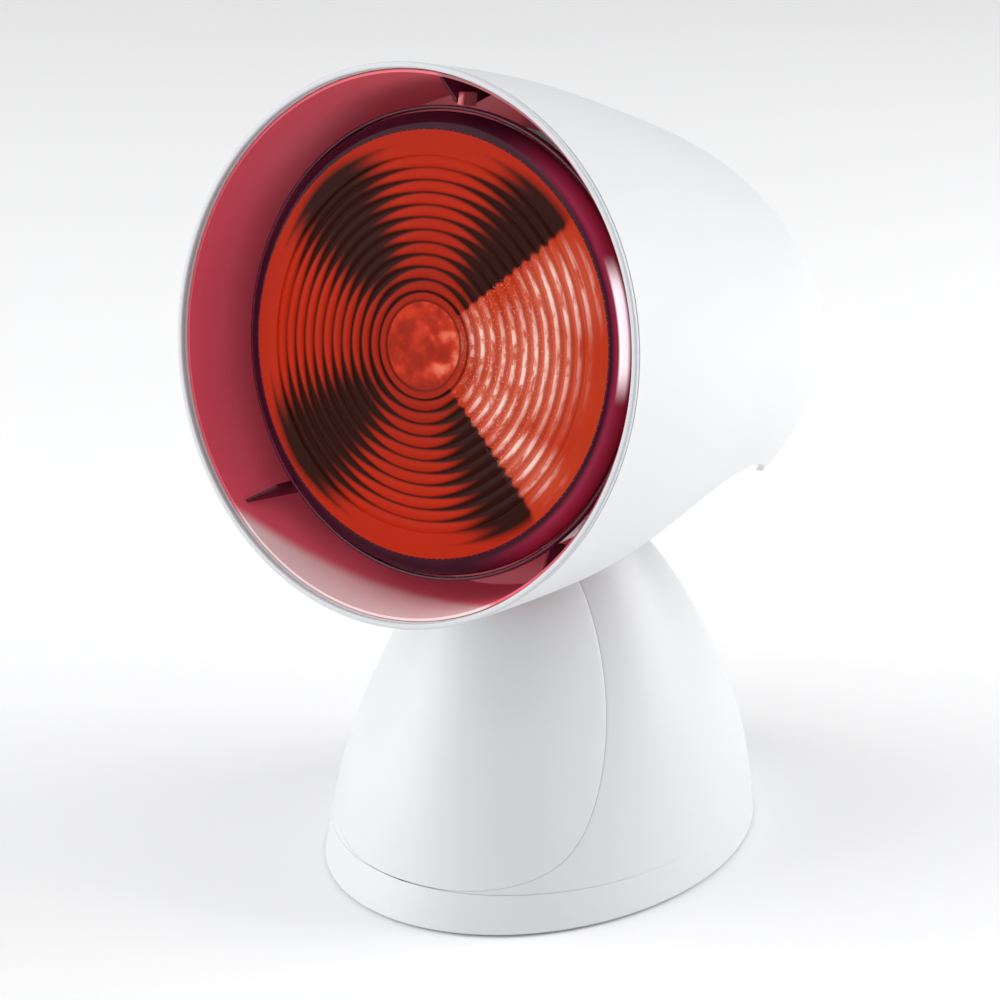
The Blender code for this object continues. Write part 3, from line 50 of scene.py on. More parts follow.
# %% [markdown]
# ## Camera
# The photograph looks a little down on the lamp, from its right. A camera could be moved by eye until it
# fits. Here its place was worked out from the outlines of the rim and the stand, so the numbers are
# used as they are: a long lens, which keeps the rounds round.

# %% Camera
CAMERA_PLACE = (0.44248, -0.66745, 0.40297)
CAMERA_TURN = 35.14979 * DEGREE
CAMERA_DROP = 20.96886 * DEGREE

lens = bpy.data.cameras.new("camera")
lens.lens = 108
lens.sensor_width = 36
camera = bpy.data.objects.new("camera", lens)
camera.location = CAMERA_PLACE
camera.rotation_euler = (math.pi / 2 - CAMERA_DROP, 0, CAMERA_TURN)
bpy.context.collection.objects.link(camera)
bpy.context.scene.camera = camera
print("camera:", tuple(round(c, 3) for c in camera.location))

# %% [markdown]
# ## Shader maths as plain Python
# A finish is a small sum: some grain, some wear, a colour between two others. Nodes could be added one by
# one and wired by name, which hides the sum. A class that stands for a wire lets Python's own operators
# add the Math nodes, and the sum can be read again later. The same class works in a material and in a
# Geometry Nodes tree, because both know the Math node.

# %% A wire that does arithmetic
class Wire:
    """One output of a node, on which arithmetic adds Math nodes."""

    def __init__(self, tree, socket):
        self.tree = tree
        self.socket = socket

    def math(self, operation, *others):
        inputs = dict(enumerate((self, *others)))
        return self.tree.node("ShaderNodeMath", {"operation": operation}, inputs)

    def __add__(self, other):
        return self.math("ADD", other)

    def __sub__(self, other):
        return self.math("SUBTRACT", other)

    def __rsub__(self, other):
        return (self * -1).math("ADD", other)

    def __mul__(self, other):
        return self.math("MULTIPLY", other)

    def __truediv__(self, other):
        return self.math("DIVIDE", other)

    def __rtruediv__(self, other):
        return self.math("POWER", -1) * other

    def __pow__(self, other):
        return self.math("POWER", other)

    def __abs__(self):
        return self.math("ABSOLUTE")

    def __neg__(self):
        return self * -1

    __radd__ = __add__
    __rmul__ = __mul__

    def sine(self):
        return self.math("SINE")

    def root(self):
        return self.math("SQRT")

    def above(self, other):
        return self.math("GREATER_THAN", other)

    def highest(self, other):
        return self.math("MAXIMUM", other)

    def lowest(self, other):
        return self.math("MINIMUM", other)

    def wrapped(self, low, high):
        return self.math("WRAP", high, low)


# %% A tree that adds any node
class Tree:
    """A node tree with one method that adds any node."""

    def __init__(self, tree):
        self.tree = tree

    def connect(self, target, value):
        if isinstance(value, Wire):
            self.tree.links.new(value.socket, target)
        else:
            target.default_value = value

    def node(self, kind, settings=None, inputs=None, output=0):
        """Add a node: its settings first, then its sockets' values or links."""
        node = self.tree.nodes.new(kind)
        for key, value in (settings or {}).items():
            if key == "stops":
                self.set_stops(node.color_ramp, value)
            else:
                setattr(node, key, value)
        for key, value in (inputs or {}).items():
            self.connect(node.inputs[key], value)
        return Wire(self, node.outputs[output])

    def set_stops(self, ramp, stops):
        while len(ramp.elements) < len(stops):
            ramp.elements.new(1)
        for element, (place, colour) in zip(ramp.elements, stops):
            element.position = place
            element.color = (*colour, 1)

    def smooth(self, value, low, high, start=0.0, stop=1.0):
        """Blend from start to stop as the value passes from low to high."""
        settings = {"interpolation_type": "SMOOTHSTEP"}
        values = {"Value": value, "From Min": low, "From Max": high, "To Min": start, "To Max": stop}
        return self.node("ShaderNodeMapRange", settings, values)


# %% A finish: a tree with a shader
COLOUR_A, COLOUR_B, COLOUR_OUT = 6, 7, 2


class Finish(Tree):
    """A material made of one Principled shader and the sums that feed it."""

    def __init__(self, name, **values):
        self.material = bpy.data.materials.new(name)
        self.material.use_nodes = True
        super().__init__(self.material.node_tree)
        self.shader = self.tree.nodes["Principled BSDF"]
        self.set(**values)

    def set(self, **values):
        """Set or feed the shader's sockets; an underscore stands for a space."""
        for key, value in values.items():
            self.connect(self.shader.inputs[key.replace("_", " ").title().replace("Ior", "IOR")], value)
        return self

    def place(self, location=(0, 0, 0), turn=(0, 0, 0), scale=(1, 1, 1)):
        """Return the point on the piece, as seen from a frame that was moved, turned and scaled."""
        point = self.node("ShaderNodeTexCoord", output="Object")
        frame_values = {"Vector": point, "Location": location, "Rotation": turn, "Scale": scale}
        return self.node("ShaderNodeMapping", {"vector_type": "TEXTURE"}, frame_values)

    def vector(self, x, y, z):
        return self.node("ShaderNodeCombineXYZ", None, {0: x, 1: y, 2: z})

    def noise(self, size, detail=2.0, at=None, roughness=0.5):
        """Return soft noise from 0 to 1 whose patches are about as large as the size."""
        values = {"Vector": at or self.place(), "Scale": 1 / size, "Detail": detail, "Roughness": roughness}
        return self.node("ShaderNodeTexNoise", None, values, output=0)

    def mix(self, share, first, second, blend="MIX"):
        """Mix two colours."""
        settings = {"data_type": "RGBA", "blend_type": blend}
        inputs = {0: share}
        for key, colour in ((COLOUR_A, first), (COLOUR_B, second)):
            inputs[key] = colour if isinstance(colour, Wire) else (*colour[:3], 1)
        return self.node("ShaderNodeMix", settings, inputs, output=COLOUR_OUT)

    def bump(self, height, distance, strength=1.0):
        """Feed the shader's normal from a height between 0 and 1."""
        values = {"Height": height, "Distance": distance, "Strength": strength}
        self.set(normal=self.node("ShaderNodeBump", None, values))
        return self


# %% [markdown]
# ## Studio
# The lamp stands in a white photo tent: a pale floor, a very large soft light above, a smaller one behind
# the lamp's right that makes the side of the shade shine, and a wide one at the front left that fills the
# mouth and the stand. Whites come out of bright, even light and not out of a white picture behind the
# lamp. A light's size matters as much as its power: the larger it is, the softer the shadows and the
# weaker its mirror image in the glass.

# %% Studio: floor, world and lights
FLOOR_SIZE = 8.0
TENT_LIGHT = 0.30
TENT_COLOUR = (0.98, 0.985, 1.0, 1)


def soft_light(name, place, aim, size, power):
    """Add a rectangular light that looks at a point."""
    data = bpy.data.lights.new(name, "AREA")
    data.shape = "RECTANGLE"
    data.size, data.size_y = size
    data.energy = power
    light = bpy.data.objects.new(name, data)
    light.location = place
    look = Vector(aim) - Vector(place)
    light.rotation_euler = look.to_track_quat("-Z", "Y").to_euler()
    bpy.context.collection.objects.link(light)


def pale_floor():
    """Make the floor, which isn't part of the lamp."""
    half = FLOOR_SIZE / 2
    mesh = bpy.data.meshes.new("floor")
    corners = [(-half, -half, 0), (half, -half, 0), (half, half, 0), (-half, half, 0)]
    mesh.from_pydata(corners, [], [(0, 1, 2, 3)])
    floor = bpy.data.objects.new("floor", mesh)
    paper = Finish("pale_floor", roughness=0.7, specular_ior_level=0.1)
    shade = paper.noise(0.4)
    paper.set(base_color=paper.mix(shade, (0.93, 0.93, 0.935), (0.96, 0.96, 0.965)))
    mesh.materials.append(paper.material)
    bpy.context.collection.objects.link(floor)


pale_floor()
world = bpy.data.worlds.new("white_tent")
world.use_nodes = True
background = world.node_tree.nodes["Background"]
background.inputs["Color"].default_value = TENT_COLOUR
background.inputs["Strength"].default_value = TENT_LIGHT
bpy.context.scene.world = world
bpy.context.scene.view_settings.view_transform = "Standard"

LAMP_MIDDLE = (0, 0, 0.13)
soft_light("top_light", (0.2, 0.3, 2.8), (0, 0, 0), (5.0, 5.0), 56.0)
soft_light("right_light", (0.95, 0.78, 0.58), LAMP_MIDDLE, (0.8, 0.8), 11.0)
soft_light("front_left_light", (-1.20, -1.25, 0.80), LAMP_MIDDLE, (1.8, 1.8), 27.0)

# %% [markdown]
# ## Finishes
# The white parts are moulded plastic with a fine satin texture. The mouth is lined in glossy crimson, the
# bulb is tinted glass, and the metal inside is plain zinc and brass. A texture on real plastic is some
# tenths of a millimetre wide, so each noise gets its size in metres rather than a bare scale.

# %% Moulded plastics
PLASTIC_IOR = 1.49


def moulded_plastic(name, colour, tone, roughness, grain_depth):
    """Satin plastic with faint flow marks and a fine texture."""
    plastic = Finish(name, ior=PLASTIC_IOR)
    flow = plastic.noise(30 * MM, detail=3)
    grain = plastic.noise(0.35 * MM, detail=2)
    plastic.set(base_color=plastic.mix(flow, colour, [c * tone for c in colour]))
    plastic.set(roughness=roughness + grain * 0.05 + flow * 0.04)
    return plastic.bump(grain, grain_depth)


WHITE = moulded_plastic("white_plastic", (0.77, 0.777, 0.790), 0.985, 0.36, 0.010 * MM)
RIM_WHITE = moulded_plastic("rim_plastic", (0.64, 0.66, 0.68), 0.96, 0.32, 0.008 * MM)
BLACK = moulded_plastic("black_plastic", (0.018, 0.018, 0.020), 0.8, 0.34, 0.03 * MM)
GREY = moulded_plastic("grey_plastic", (0.27, 0.28, 0.30), 0.92, 0.42, 0.03 * MM)
RUBBER = moulded_plastic("black_rubber", (0.028, 0.028, 0.030), 0.75, 0.72, 0.05 * MM)
MARKS = moulded_plastic("switch_marks", (0.72, 0.73, 0.74), 0.95, 0.45, 0.01 * MM)

# %% Metals and ceramic inside
def plain_metal(name, colour, roughness, brush=(1, 1, 1), depth=0.006 * MM):
    """Bare metal with drawn or rolled marks and small stains."""
    metal = Finish(name, metallic=1.0)
    marks = metal.noise(0.6 * MM, detail=4, at=metal.place(scale=brush))
    stain = metal.noise(7 * MM, detail=3)
    dull = [c * 0.78 for c in colour]
    metal.set(base_color=metal.mix(stain, colour, dull), roughness=roughness + marks * 0.12 + stain * 0.06)
    return metal.bump(marks, depth)


STEEL = plain_metal("zinc_steel", (0.58, 0.59, 0.61), 0.24)
NICKEL = plain_metal("nickel", (0.72, 0.69, 0.64), 0.20)
BRASS = plain_metal("brass", (0.70, 0.52, 0.23), 0.22)
IRON = plain_metal("cast_iron", (0.14, 0.14, 0.15), 0.48, depth=0.05 * MM)

CERAMIC = Finish("glazed_ceramic", coat_weight=0.6, coat_roughness=0.08)
speck = CERAMIC.noise(1.4 * MM, detail=4)
CERAMIC.set(base_color=CERAMIC.mix(speck, (0.80, 0.78, 0.72), (0.70, 0.67, 0.60)))
CERAMIC.set(roughness=0.4 + speck * 0.1)
CERAMIC.bump(speck, 0.02 * MM)
print("finishes:", len(bpy.data.materials))

# %% [markdown]
# ## Where things are
# The stand stands on its own middle, and the shade is tilted down on its hinge. A shape is easier to
# describe in its own frame and moved into place at the end, so there are two frames. In the shade's
# frame Y runs backwards from the rim (called v) and Z runs up across it (called w).

# %% Frames of the stand and the shade
LAMP_SHIFT = -17.634 * MM
SHADE_TILT = 12.15 * DEGREE
RIM_Y, RIM_Z = -68.2 * MM, 164.7 * MM
LAMP = Matrix.Translation((0, LAMP_SHIFT, 0))
SHADE = LAMP @ Matrix.Translation((0, RIM_Y, RIM_Z)) @ Matrix.Rotation(-SHADE_TILT, 4, "X")
SHADE_PLACE = {"location": tuple(SHADE.translation), "turn": (-SHADE_TILT, 0, 0)}
print("rim's middle:", [round(c / MM, 1) for c in SHADE.translation])

# %% [markdown]
# ## Smooth lines from few sizes
# A designer draws such a body with a handful of section sizes and a smooth curve through them. A natural
# spline does the same in code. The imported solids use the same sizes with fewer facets, so what is built
# here lies on them.

# %% Spline through a few sizes
def natural_spline(places, values):
    """Return the natural cubic spline through the values as a function."""
    count = len(places)
    steps = [b - a for a, b in zip(places, places[1:])]
    slopes = [(b - a) / step for a, b, step in zip(values, values[1:], steps)]
    bends = [0.0] * count
    scale, rest = [0.0] * count, [0.0] * count
    for i in range(1, count - 1):
        across = 2 * (steps[i - 1] + steps[i]) - steps[i - 1] * scale[i - 1]
        scale[i] = steps[i] / across
        rest[i] = (6 * (slopes[i] - slopes[i - 1]) - steps[i - 1] * rest[i - 1]) / across
    for i in range(count - 2, 0, -1):
        bends[i] = rest[i] - scale[i] * bends[i + 1]

    def at(place):
        i = sum(place > edge for edge in places[1:-1])
        near, far, step = places[i + 1] - place, place - places[i], steps[i]
        curve = (bends[i] * near**3 + bends[i + 1] * far**3) / (6 * step)
        left = (values[i] / step - bends[i] * step / 6) * near
        return curve + left + (values[i + 1] / step - bends[i + 1] * step / 6) * far

    return at


def spread(start, stop, count):
    """Return evenly spaced values with both ends."""
    return [start + (stop - start) * i / (count - 1) for i in range(count)]


# %% [markdown]
# ## From points to a finished piece
# Most pieces here are skins: rows of points joined into faces. The helpers weld what meets, turn every
# face outward and keep hard edges hard while the rest shades smoothly. A piece's place ends up in its
# mesh and its object stays at the origin, so the pattern of a material never slides.

# %% Mesh helpers
SHARP_EDGE = 32 * DEGREE
WELD = 0.002 * MM


def attach(piece, body, replaces=()):
    """Attach a piece to the body it rides on, and hide the nodes it stands for."""
    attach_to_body(piece, body)
    if replaces:
        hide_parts(*replaces)


def put(name, mesh, body=None, finish=None, replaces=()):
    """Add a piece, and attach it if its body is known already."""
    piece = bpy.data.objects.new(name, mesh)
    bpy.context.collection.objects.link(piece)
    if finish:
        mesh.materials.clear()
        mesh.materials.append(finish.material)
    if body:
        attach(piece, body, replaces)
    return piece


def mesh_of(name, bm, place=None, sharp=SHARP_EDGE, weld=WELD):
    """Weld a bmesh, turn its faces outward and make it a mesh in its place."""
    bmesh.ops.remove_doubles(bm, verts=bm.verts, dist=weld)
    bmesh.ops.recalc_face_normals(bm, faces=bm.faces)
    if place is not None:
        bmesh.ops.transform(bm, matrix=place, verts=bm.verts)
    mesh = bpy.data.meshes.new(name)
    bm.to_mesh(mesh)
    bm.free()
    shade_edges(mesh, sharp)
    return mesh


def shade_edges(mesh, sharp=SHARP_EDGE):
    """Shade smoothly, with edges sharper than an angle kept hard."""
    mesh.shade_smooth()
    mesh.set_sharp_from_angle(angle=sharp)


def skin(rows, closed=True, start=None, end=None):
    """Join rows of points into a bmesh; an end stays open, or is 'flat' or a tip point."""
    bm = bmesh.new()
    lines = [[bm.verts.new(point) for point in row] for row in rows]
    for low, high in zip(lines, lines[1:]):
        for i in range(len(low) - (not closed)):
            j = (i + 1) % len(low)
            bm.faces.new((low[i], low[j], high[j], high[i]))
    for line, closing in ((lines[0], start), (lines[-1], end)):
        if closing == "flat":
            bm.faces.new(line)
        elif closing is not None:
            tip = bm.verts.new(closing)
            for i, vertex in enumerate(line):
                bm.faces.new((vertex, line[(i + 1) % len(line)], tip))
    return bm


def turned(name, outline, place, steps=192, closed=False, sharp=SHARP_EDGE):
    """Turn an outline of radius and height about the frame's Y axis."""
    rows = []
    for i in range(steps):
        c, s = math.cos(2 * math.pi * i / steps), math.sin(2 * math.pi * i / steps)
        rows.append([(r * c, h, r * s) for r, h in outline])
    bm = bmesh.new()
    lines = [[bm.verts.new(point) for point in row] for row in rows]
    count = len(outline)
    for i, line in enumerate(lines):
        following = lines[(i + 1) % steps]
        for j in range(count if closed else count - 1):
            k = (j + 1) % count
            corners = [line[j], line[k], following[k], following[j]]
            if outline[j][0] == 0:
                corners.pop(3)
            if outline[k][0] == 0:
                corners.pop(2 if len(corners) == 4 else 1)
            if len(corners) > 2:
                bm.faces.new(corners)
    return mesh_of(name, bm, place, sharp)


def rounded_outline(points, radius, steps=4, closed=True):
    """Round the corners of an outline."""
    rounded = []
    count = len(points)
    for i, (x, y) in enumerate(points):
        if not closed and i in (0, count - 1):
            rounded.append((x, y))
            continue
        here = Vector((x, y))
        before, after = Vector(points[i - 1]), Vector(points[(i + 1) % count])
        into, out = (before - here), (after - here)
        half = into.angle(out) / 2
        reach = min(radius / math.tan(half), into.length * 0.45, out.length * 0.45)
        start, stop = here + into.normalized() * reach, here + out.normalized() * reach
        for t in spread(0, 1, steps + 1):
            point = start * (1 - t) ** 2 + here * 2 * t * (1 - t) + stop * t**2
            rounded.append((point.x, point.y))
    return rounded


# %% Modifier helpers
def applied(piece):
    """Turn a piece's modifiers into plain mesh and remove them."""
    graph = bpy.context.evaluated_depsgraph_get()
    mesh = bpy.data.meshes.new_from_object(piece.evaluated_get(graph))
    mesh.name = piece.name
    piece.modifiers.clear()
    piece.data = mesh
    return mesh


def wall(piece, thickness):
    """Thicken an open surface inwards."""
    step = piece.modifiers.new("wall", "SOLIDIFY")
    step.thickness = thickness
    step.offset = -1
    step.use_even_offset = True


def round_edges(piece, width, segments=3, angle=40 * DEGREE):
    """Round the hard edges of a piece."""
    step = piece.modifiers.new("edges", "BEVEL")
    step.width = width
    step.segments = segments
    step.limit_method = "ANGLE"
    step.angle_limit = angle
    step.harden_normals = False


def combine(piece, operation, tool_mesh):
    """Cut, join or trim a piece by a closed mesh."""
    tool = bpy.data.objects.new("tool", tool_mesh)
    bpy.context.collection.objects.link(tool)
    step = piece.modifiers.new("combine", "BOOLEAN")
    step.operation = operation
    step.solver = "EXACT"
    step.object = tool
    applied(piece)
    bpy.data.objects.remove(tool)


def block(low, high, place, round_by=0.0, segments=3):
    """Return a closed block between two corners, with rounded edges if asked."""
    bm = bmesh.new()
    bmesh.ops.create_cube(bm, size=1)
    low, high = Vector(low), Vector(high)
    bmesh.ops.scale(bm, vec=high - low, verts=bm.verts)
    bmesh.ops.translate(bm, vec=(low + high) / 2, verts=bm.verts)
    if round_by:
        bmesh.ops.bevel(
            bm, geom=bm.edges[:], offset=round_by, segments=segments, profile=0.5, affect="EDGES"
        )
    return mesh_of("block", bm, place)


# %% [markdown]
# ## Shade shell
# The shell is a moulded nose cone: round at every depth, blunt at the tail, with sections whose middles
# drop slightly. It could be lofted by hand, but its shape follows a rule, so Geometry Nodes build it. A
# guide line along the axis carries the radius at each depth, Curve to Mesh sweeps a circle whose scale
# is that radius, and Set Position lowers each section by the drop, which is a sum of the depth.

# %% Shade's rule
RIM_RADIUS = 72.65 * MM
SHADE_LENGTH = 192.4 * MM
SHADE_WALL = 1.6 * MM
SHADE_START = 1.8 * MM
DROP_SLOPE, DROP_BEND = -0.0211, 0.0502 / SHADE_LENGTH
SHADE_LENGTH_SHARES = (0, 0.2, 0.4, 0.6, 0.8, 1)
SHADE_RADIUS_SHARES = (1, 0.9615, 0.8829, 0.7814, 0.5693, 0)
shade_square = natural_spline(
    [share * SHADE_LENGTH for share in SHADE_LENGTH_SHARES],
    [(share * RIM_RADIUS) ** 2 for share in SHADE_RADIUS_SHARES],
)


def shade_radius(v):
    """Return the shade's outer radius at a depth behind the rim."""
    return math.sqrt(max(shade_square(v), 0))


def shade_drop(v):
    """Return how far the middle of a section lies below the axis."""
    return DROP_SLOPE * v + DROP_BEND * v**2


print("radius halfway:", round(shade_radius(SHADE_LENGTH / 2) / MM, 1), "mm")

# %% Guide line with its radii
GUIDE_POINTS = 150


def guide_line(name, depths, radii):
    """Make a line of points along Y that carries a radius at each."""
    mesh = bpy.data.meshes.new(name)
    mesh.from_pydata([(0, v, 0) for v in depths], [(i, i + 1) for i in range(len(depths) - 1)], [])
    radius = mesh.attributes.new("radius", "FLOAT", "POINT")
    for item, value in zip(radius.data, radii):
        item.value = value
    return mesh


def nose_depths(start, end, count):
    """Return depths that crowd towards the blunt tail."""
    return [start + (end - start) * math.sin(a) for a in spread(0, math.pi / 2, count)]


depths = nose_depths(SHADE_START, SHADE_LENGTH, GUIDE_POINTS)
radii = [max(shade_radius(v), 0.01 * MM) for v in depths]
shade_guide = guide_line("shade_guide", depths, radii)
print("guide points:", len(shade_guide.vertices))

# %% Geometry tree helpers
class Shape(Tree):
    """A Geometry Nodes tree with named inputs."""

    def __init__(self, name, **sizes):
        group = bpy.data.node_groups.new(name, "GeometryNodeTree")
        super().__init__(group)
        group.interface.new_socket("Geometry", in_out="INPUT", socket_type="NodeSocketGeometry")
        group.interface.new_socket("Geometry", in_out="OUTPUT", socket_type="NodeSocketGeometry")
        self.sizes = sizes
        for key, value in sizes.items():
            kind = "NodeSocketInt" if isinstance(value, int) else "NodeSocketFloat"
            group.interface.new_socket(key, in_out="INPUT", socket_type=kind)
        self.inputs = group.nodes.new("NodeGroupInput")
        self.result = group.nodes.new("NodeGroupOutput")
        self.start = Wire(self, self.inputs.outputs["Geometry"])

    def size(self, key):
        return Wire(self, self.inputs.outputs[key])

    def position(self):
        """Return the x, y and z of each point."""
        here = self.node("GeometryNodeInputPosition")
        return [self.node("ShaderNodeSeparateXYZ", None, {0: here}, output=i) for i in range(3)]

    def vector(self, x, y, z):
        return self.node("ShaderNodeCombineXYZ", None, {0: x, 1: y, 2: z})

    def end(self, geometry, finish):
        """Close the tree with real geometry and a material."""
        real = self.node("GeometryNodeRealizeInstances", None, {0: geometry})
        painted = self.node("GeometryNodeSetMaterial", None, {"Geometry": real, "Material": finish.material})
        self.tree.links.new(painted.socket, self.result.inputs[0])

    def grow(self, name, mesh, place=None, **sizes):
        """Run the tree on a mesh with these sizes and return a plain mesh."""
        holder = bpy.data.objects.new(name, mesh)
        bpy.context.collection.objects.link(holder)
        step = holder.modifiers.new("shape", "NODES")
        step.node_group = self.tree
        for item in self.tree.interface.items_tree:
            if item.in_out == "INPUT" and item.name in self.sizes:
                step[item.identifier] = sizes.get(item.name, self.sizes[item.name])
        made = applied(holder)
        bpy.data.objects.remove(holder)
        if place is not None:
            made.transform(place)
        shade_edges(made)
        return made


# %% Tree of the nose cone
def nose_cone_tree(finish):
    """Sweep a circle along the guide, scaled by its radii, and lower each section by the drop."""
    tree = Shape("nose_cone", sides=192, drop_slope=DROP_SLOPE, drop_bend=DROP_BEND)
    line = tree.node("GeometryNodeMeshToCurve", None, {0: tree.start})
    ring_values = {"Resolution": tree.size("sides"), "Radius": 1.0}
    ring = tree.node("GeometryNodeCurvePrimitiveCircle", None, ring_values)
    radius = tree.node("GeometryNodeInputNamedAttribute", {"data_type": "FLOAT"}, {"Name": "radius"})
    sweep = {"Curve": line, "Profile Curve": ring, "Scale": radius}
    surface = tree.node("GeometryNodeCurveToMesh", None, sweep)
    _, v, _ = tree.position()
    drop = v * tree.size("drop_slope") + v * v * tree.size("drop_bend")
    lower = {"Geometry": surface, "Offset": tree.vector(0, 0, -drop)}
    lowered = tree.node("GeometryNodeSetPosition", None, lower)
    tree.end(lowered, finish)
    return tree


nose_cone = nose_cone_tree(WHITE)
shade_skin = nose_cone.grow("shade_skin", shade_guide)
print("shade skin:", len(shade_skin.polygons), "faces")

# %% [markdown]
# The skin gets its wall inward, like the moulding, and then the arch is cut that lets the stand's dome
# in. The cutter is the side view of the opening: a round arch in front and a level cut at the back.

# %% Shade's wall, arch and screw bosses
ARCH_Y, ARCH_Z, ARCH_RADIUS = 10 * MM, 60 * MM, 58 * MM
CUT_LEVEL = 106 * MM
ARCH_SIDES = 96
BRACKET_BOSS = {"x": 39 * MM, "v": 113 * MM, "half": 5 * MM, "low": -26.7 * MM, "high": -14.7 * MM}


def arch_tool():
    """Return the closed side view of the opening, wide enough to pass both walls."""
    start = math.asin((CUT_LEVEL - ARCH_Z) / ARCH_RADIUS)
    outline = [
        (ARCH_Y + ARCH_RADIUS * math.cos(a), ARCH_Z + ARCH_RADIUS * math.sin(a))
        for a in spread(start, math.pi, ARCH_SIDES)
    ]
    far = SHADE_LENGTH
    outline += [(ARCH_Y - ARCH_RADIUS, 0), (far, 0), (far, CUT_LEVEL)]
    half = RIM_RADIUS * 1.1
    rows = [[(x, y, z) for y, z in outline] for x in (-half, half)]
    return mesh_of("arch_tool", skin(rows, start="flat", end="flat"), LAMP)


def boss_tool(side):
    """Return a block inside the shell that a bracket screw bites into."""
    boss = BRACKET_BOSS
    rows = []
    for v in spread(boss["v"] - boss["half"], boss["v"] + boss["half"], 4):
        row = []
        for w in spread(boss["low"], boss["high"], 5):
            reach = shade_radius(v) - SHADE_WALL / 2
            row.append((side * math.sqrt(reach**2 - (w + shade_drop(v)) ** 2), v, w))
        inner = side * (boss["x"] - boss["half"])
        rows.append(row + [(inner, v, boss["high"]), (inner, v, boss["low"])])
    return mesh_of("boss_tool", skin(rows, start="flat", end="flat"), SHADE)


def weld_mesh(mesh, distance=0.02 * MM):
    """Weld what a sweep leaves open at its tip and turn the faces outward."""
    bm = bmesh.new()
    bm.from_mesh(mesh)
    bmesh.ops.remove_doubles(bm, verts=bm.verts, dist=distance)
    bmesh.ops.recalc_face_normals(bm, faces=bm.faces)
    bm.to_mesh(mesh)
    bm.free()


def face_out(mesh, middle):
    """Turn an open skin's faces away from a point inside it."""
    bm = bmesh.new()
    bm.from_mesh(mesh)
    votes = sum((f.calc_center_median() - middle).dot(f.normal) > 0 for f in bm.faces)
    if votes < len(bm.faces) / 2:
        bmesh.ops.reverse_faces(bm, faces=bm.faces)
    bm.to_mesh(mesh)
    bm.free()


weld_mesh(shade_skin)
face_out(shade_skin, Vector((0, SHADE_LENGTH / 2, 0)))
shade_skin.transform(SHADE)
shade_shell = put("shade_shell_smooth", shade_skin)
wall(shade_shell, SHADE_WALL)
applied(shade_shell)
for side in (-1, 1):
    combine(shade_shell, "UNION", boss_tool(side))
combine(shade_shell, "DIFFERENCE", arch_tool())
shade_edges(shade_shell.data)
attach(shade_shell, "shade", ("shade_shell",))
print("shade shell:", len(shade_shell.data.polygons), "faces")

# %% [markdown]
# ## Rim
# A thin lip closes the gap between shell and liner. In the photograph it is a touch greyer than the
# shell, with a lighter inner band. It is a turned ring with well rounded edges.

# %% Rim ring
def rim_mesh():
    outer, inner = RIM_RADIUS, RIM_RADIUS - SHADE_WALL
    corners = [(outer, 1.5 * MM), (outer, 0), (inner, 0), (inner, 1.5 * MM)]
    return turned("rim_ring_smooth", rounded_outline(corners, 0.6 * MM, 5), SHADE, 256, closed=True)


rim = put("rim_ring_smooth", rim_mesh(), "shade", RIM_WHITE, ("rim_ring",))
print("rim:", len(rim.data.polygons), "faces")

# %% [markdown]
# ## Crimson liner, guard ring and webs
# Behind the rim a red wall runs back to the bulb. It is glossy painted metal. Its colour carries painted
# shade, darker in its depth and right of the top web, and painted light, pale on its lower front and glowing
# faintly. A thin ring on three webs keeps hands off the bulb.

# %% Crimson finish
def crimson_paint(name):
    """Glossy lacquer over metal, with painted shade in its depth and painted light on its lower front."""
    paint = Finish(name, coat_weight=0.12, coat_roughness=0.25, metallic=0.1)
    here = paint.place(**SHADE_PLACE)
    x, v, w = [paint.node("ShaderNodeSeparateXYZ", None, {0: here}, output=i) for i in range(3)]
    turn = w.math("ARCTAN2", x) / DEGREE
    cloud = paint.noise(18 * MM, detail=3)
    front = paint.mix(cloud, (0.80, 0.098, 0.150), (0.72, 0.082, 0.125))
    # Browner across the upper left.
    brown = paint.smooth(turn, 60, 95) * paint.smooth(turn, 150, 105)
    colour = paint.mix(brown * 0.5, front, (0.66, 0.13, 0.14))
    # Painted shade: darker on the right, from the top web down to just below the side.
    shaded = paint.smooth(turn, 89.5, 87) * paint.smooth(turn, -60, -20)
    colour = paint.mix(shaded * 0.75, colour, (0.14, 0.040, 0.050))
    # Painted shade: darker deeper in the mouth.
    colour = paint.mix(paint.smooth(v, 20 * MM, 46 * MM) * 0.5, colour, (0.40, 0.03, 0.07))
    # Painted light: a pale pink pool on the lower front where the front light would graze the wall, its
    # border bending with the angle and broken by the cloud.
    aside = turn + 85
    left_bend = aside.lowest(0) ** 2 * (0.0104 * MM)
    right_bend = aside.highest(0) ** 2 * (0.030 * MM)
    border = 26 * MM - left_bend - right_bend + (cloud - 0.5) * (2 * MM)
    pale = paint.smooth(border - v, -1.5 * MM, 6 * MM)
    rosy = paint.mix(paint.smooth(v, 2 * MM, 20 * MM), (0.90, 0.70, 0.70), (0.82, 0.42, 0.44))
    colour = paint.mix(pale * 0.9, colour, rosy)
    orange_peel = paint.noise(1.2 * MM, detail=1)
    paint.set(base_color=colour, roughness=0.34 + cloud * 0.08)
    # Painted light: a faint glow of the wall's own colour brightens the whole wall.
    paint.set(emission_color=paint.mix(0.84, colour, (0, 0, 0)), emission_strength=1.0)
    return paint.bump(orange_peel, 0.008 * MM)


CRIMSON = crimson_paint("crimson_lacquer")
DARK_CRIMSON = Finish("dark_crimson", coat_weight=0.15, coat_roughness=0.12, specular_ior_level=0.2)
tint = DARK_CRIMSON.noise(6 * MM, detail=3)
DARK_CRIMSON.set(base_color=DARK_CRIMSON.mix(tint, (0.11, 0.010, 0.030), (0.07, 0.007, 0.020)))
DARK_CRIMSON.set(roughness=0.14 + tint * 0.1)
DARK_CRIMSON.bump(tint, 0.02 * MM)

# %% Liner
LINER_SHEET = 0.7 * MM
LINER_DEPTH = 44 * MM
LINER_FLANGE = 57.6 * MM
LINER_SIDES = 192


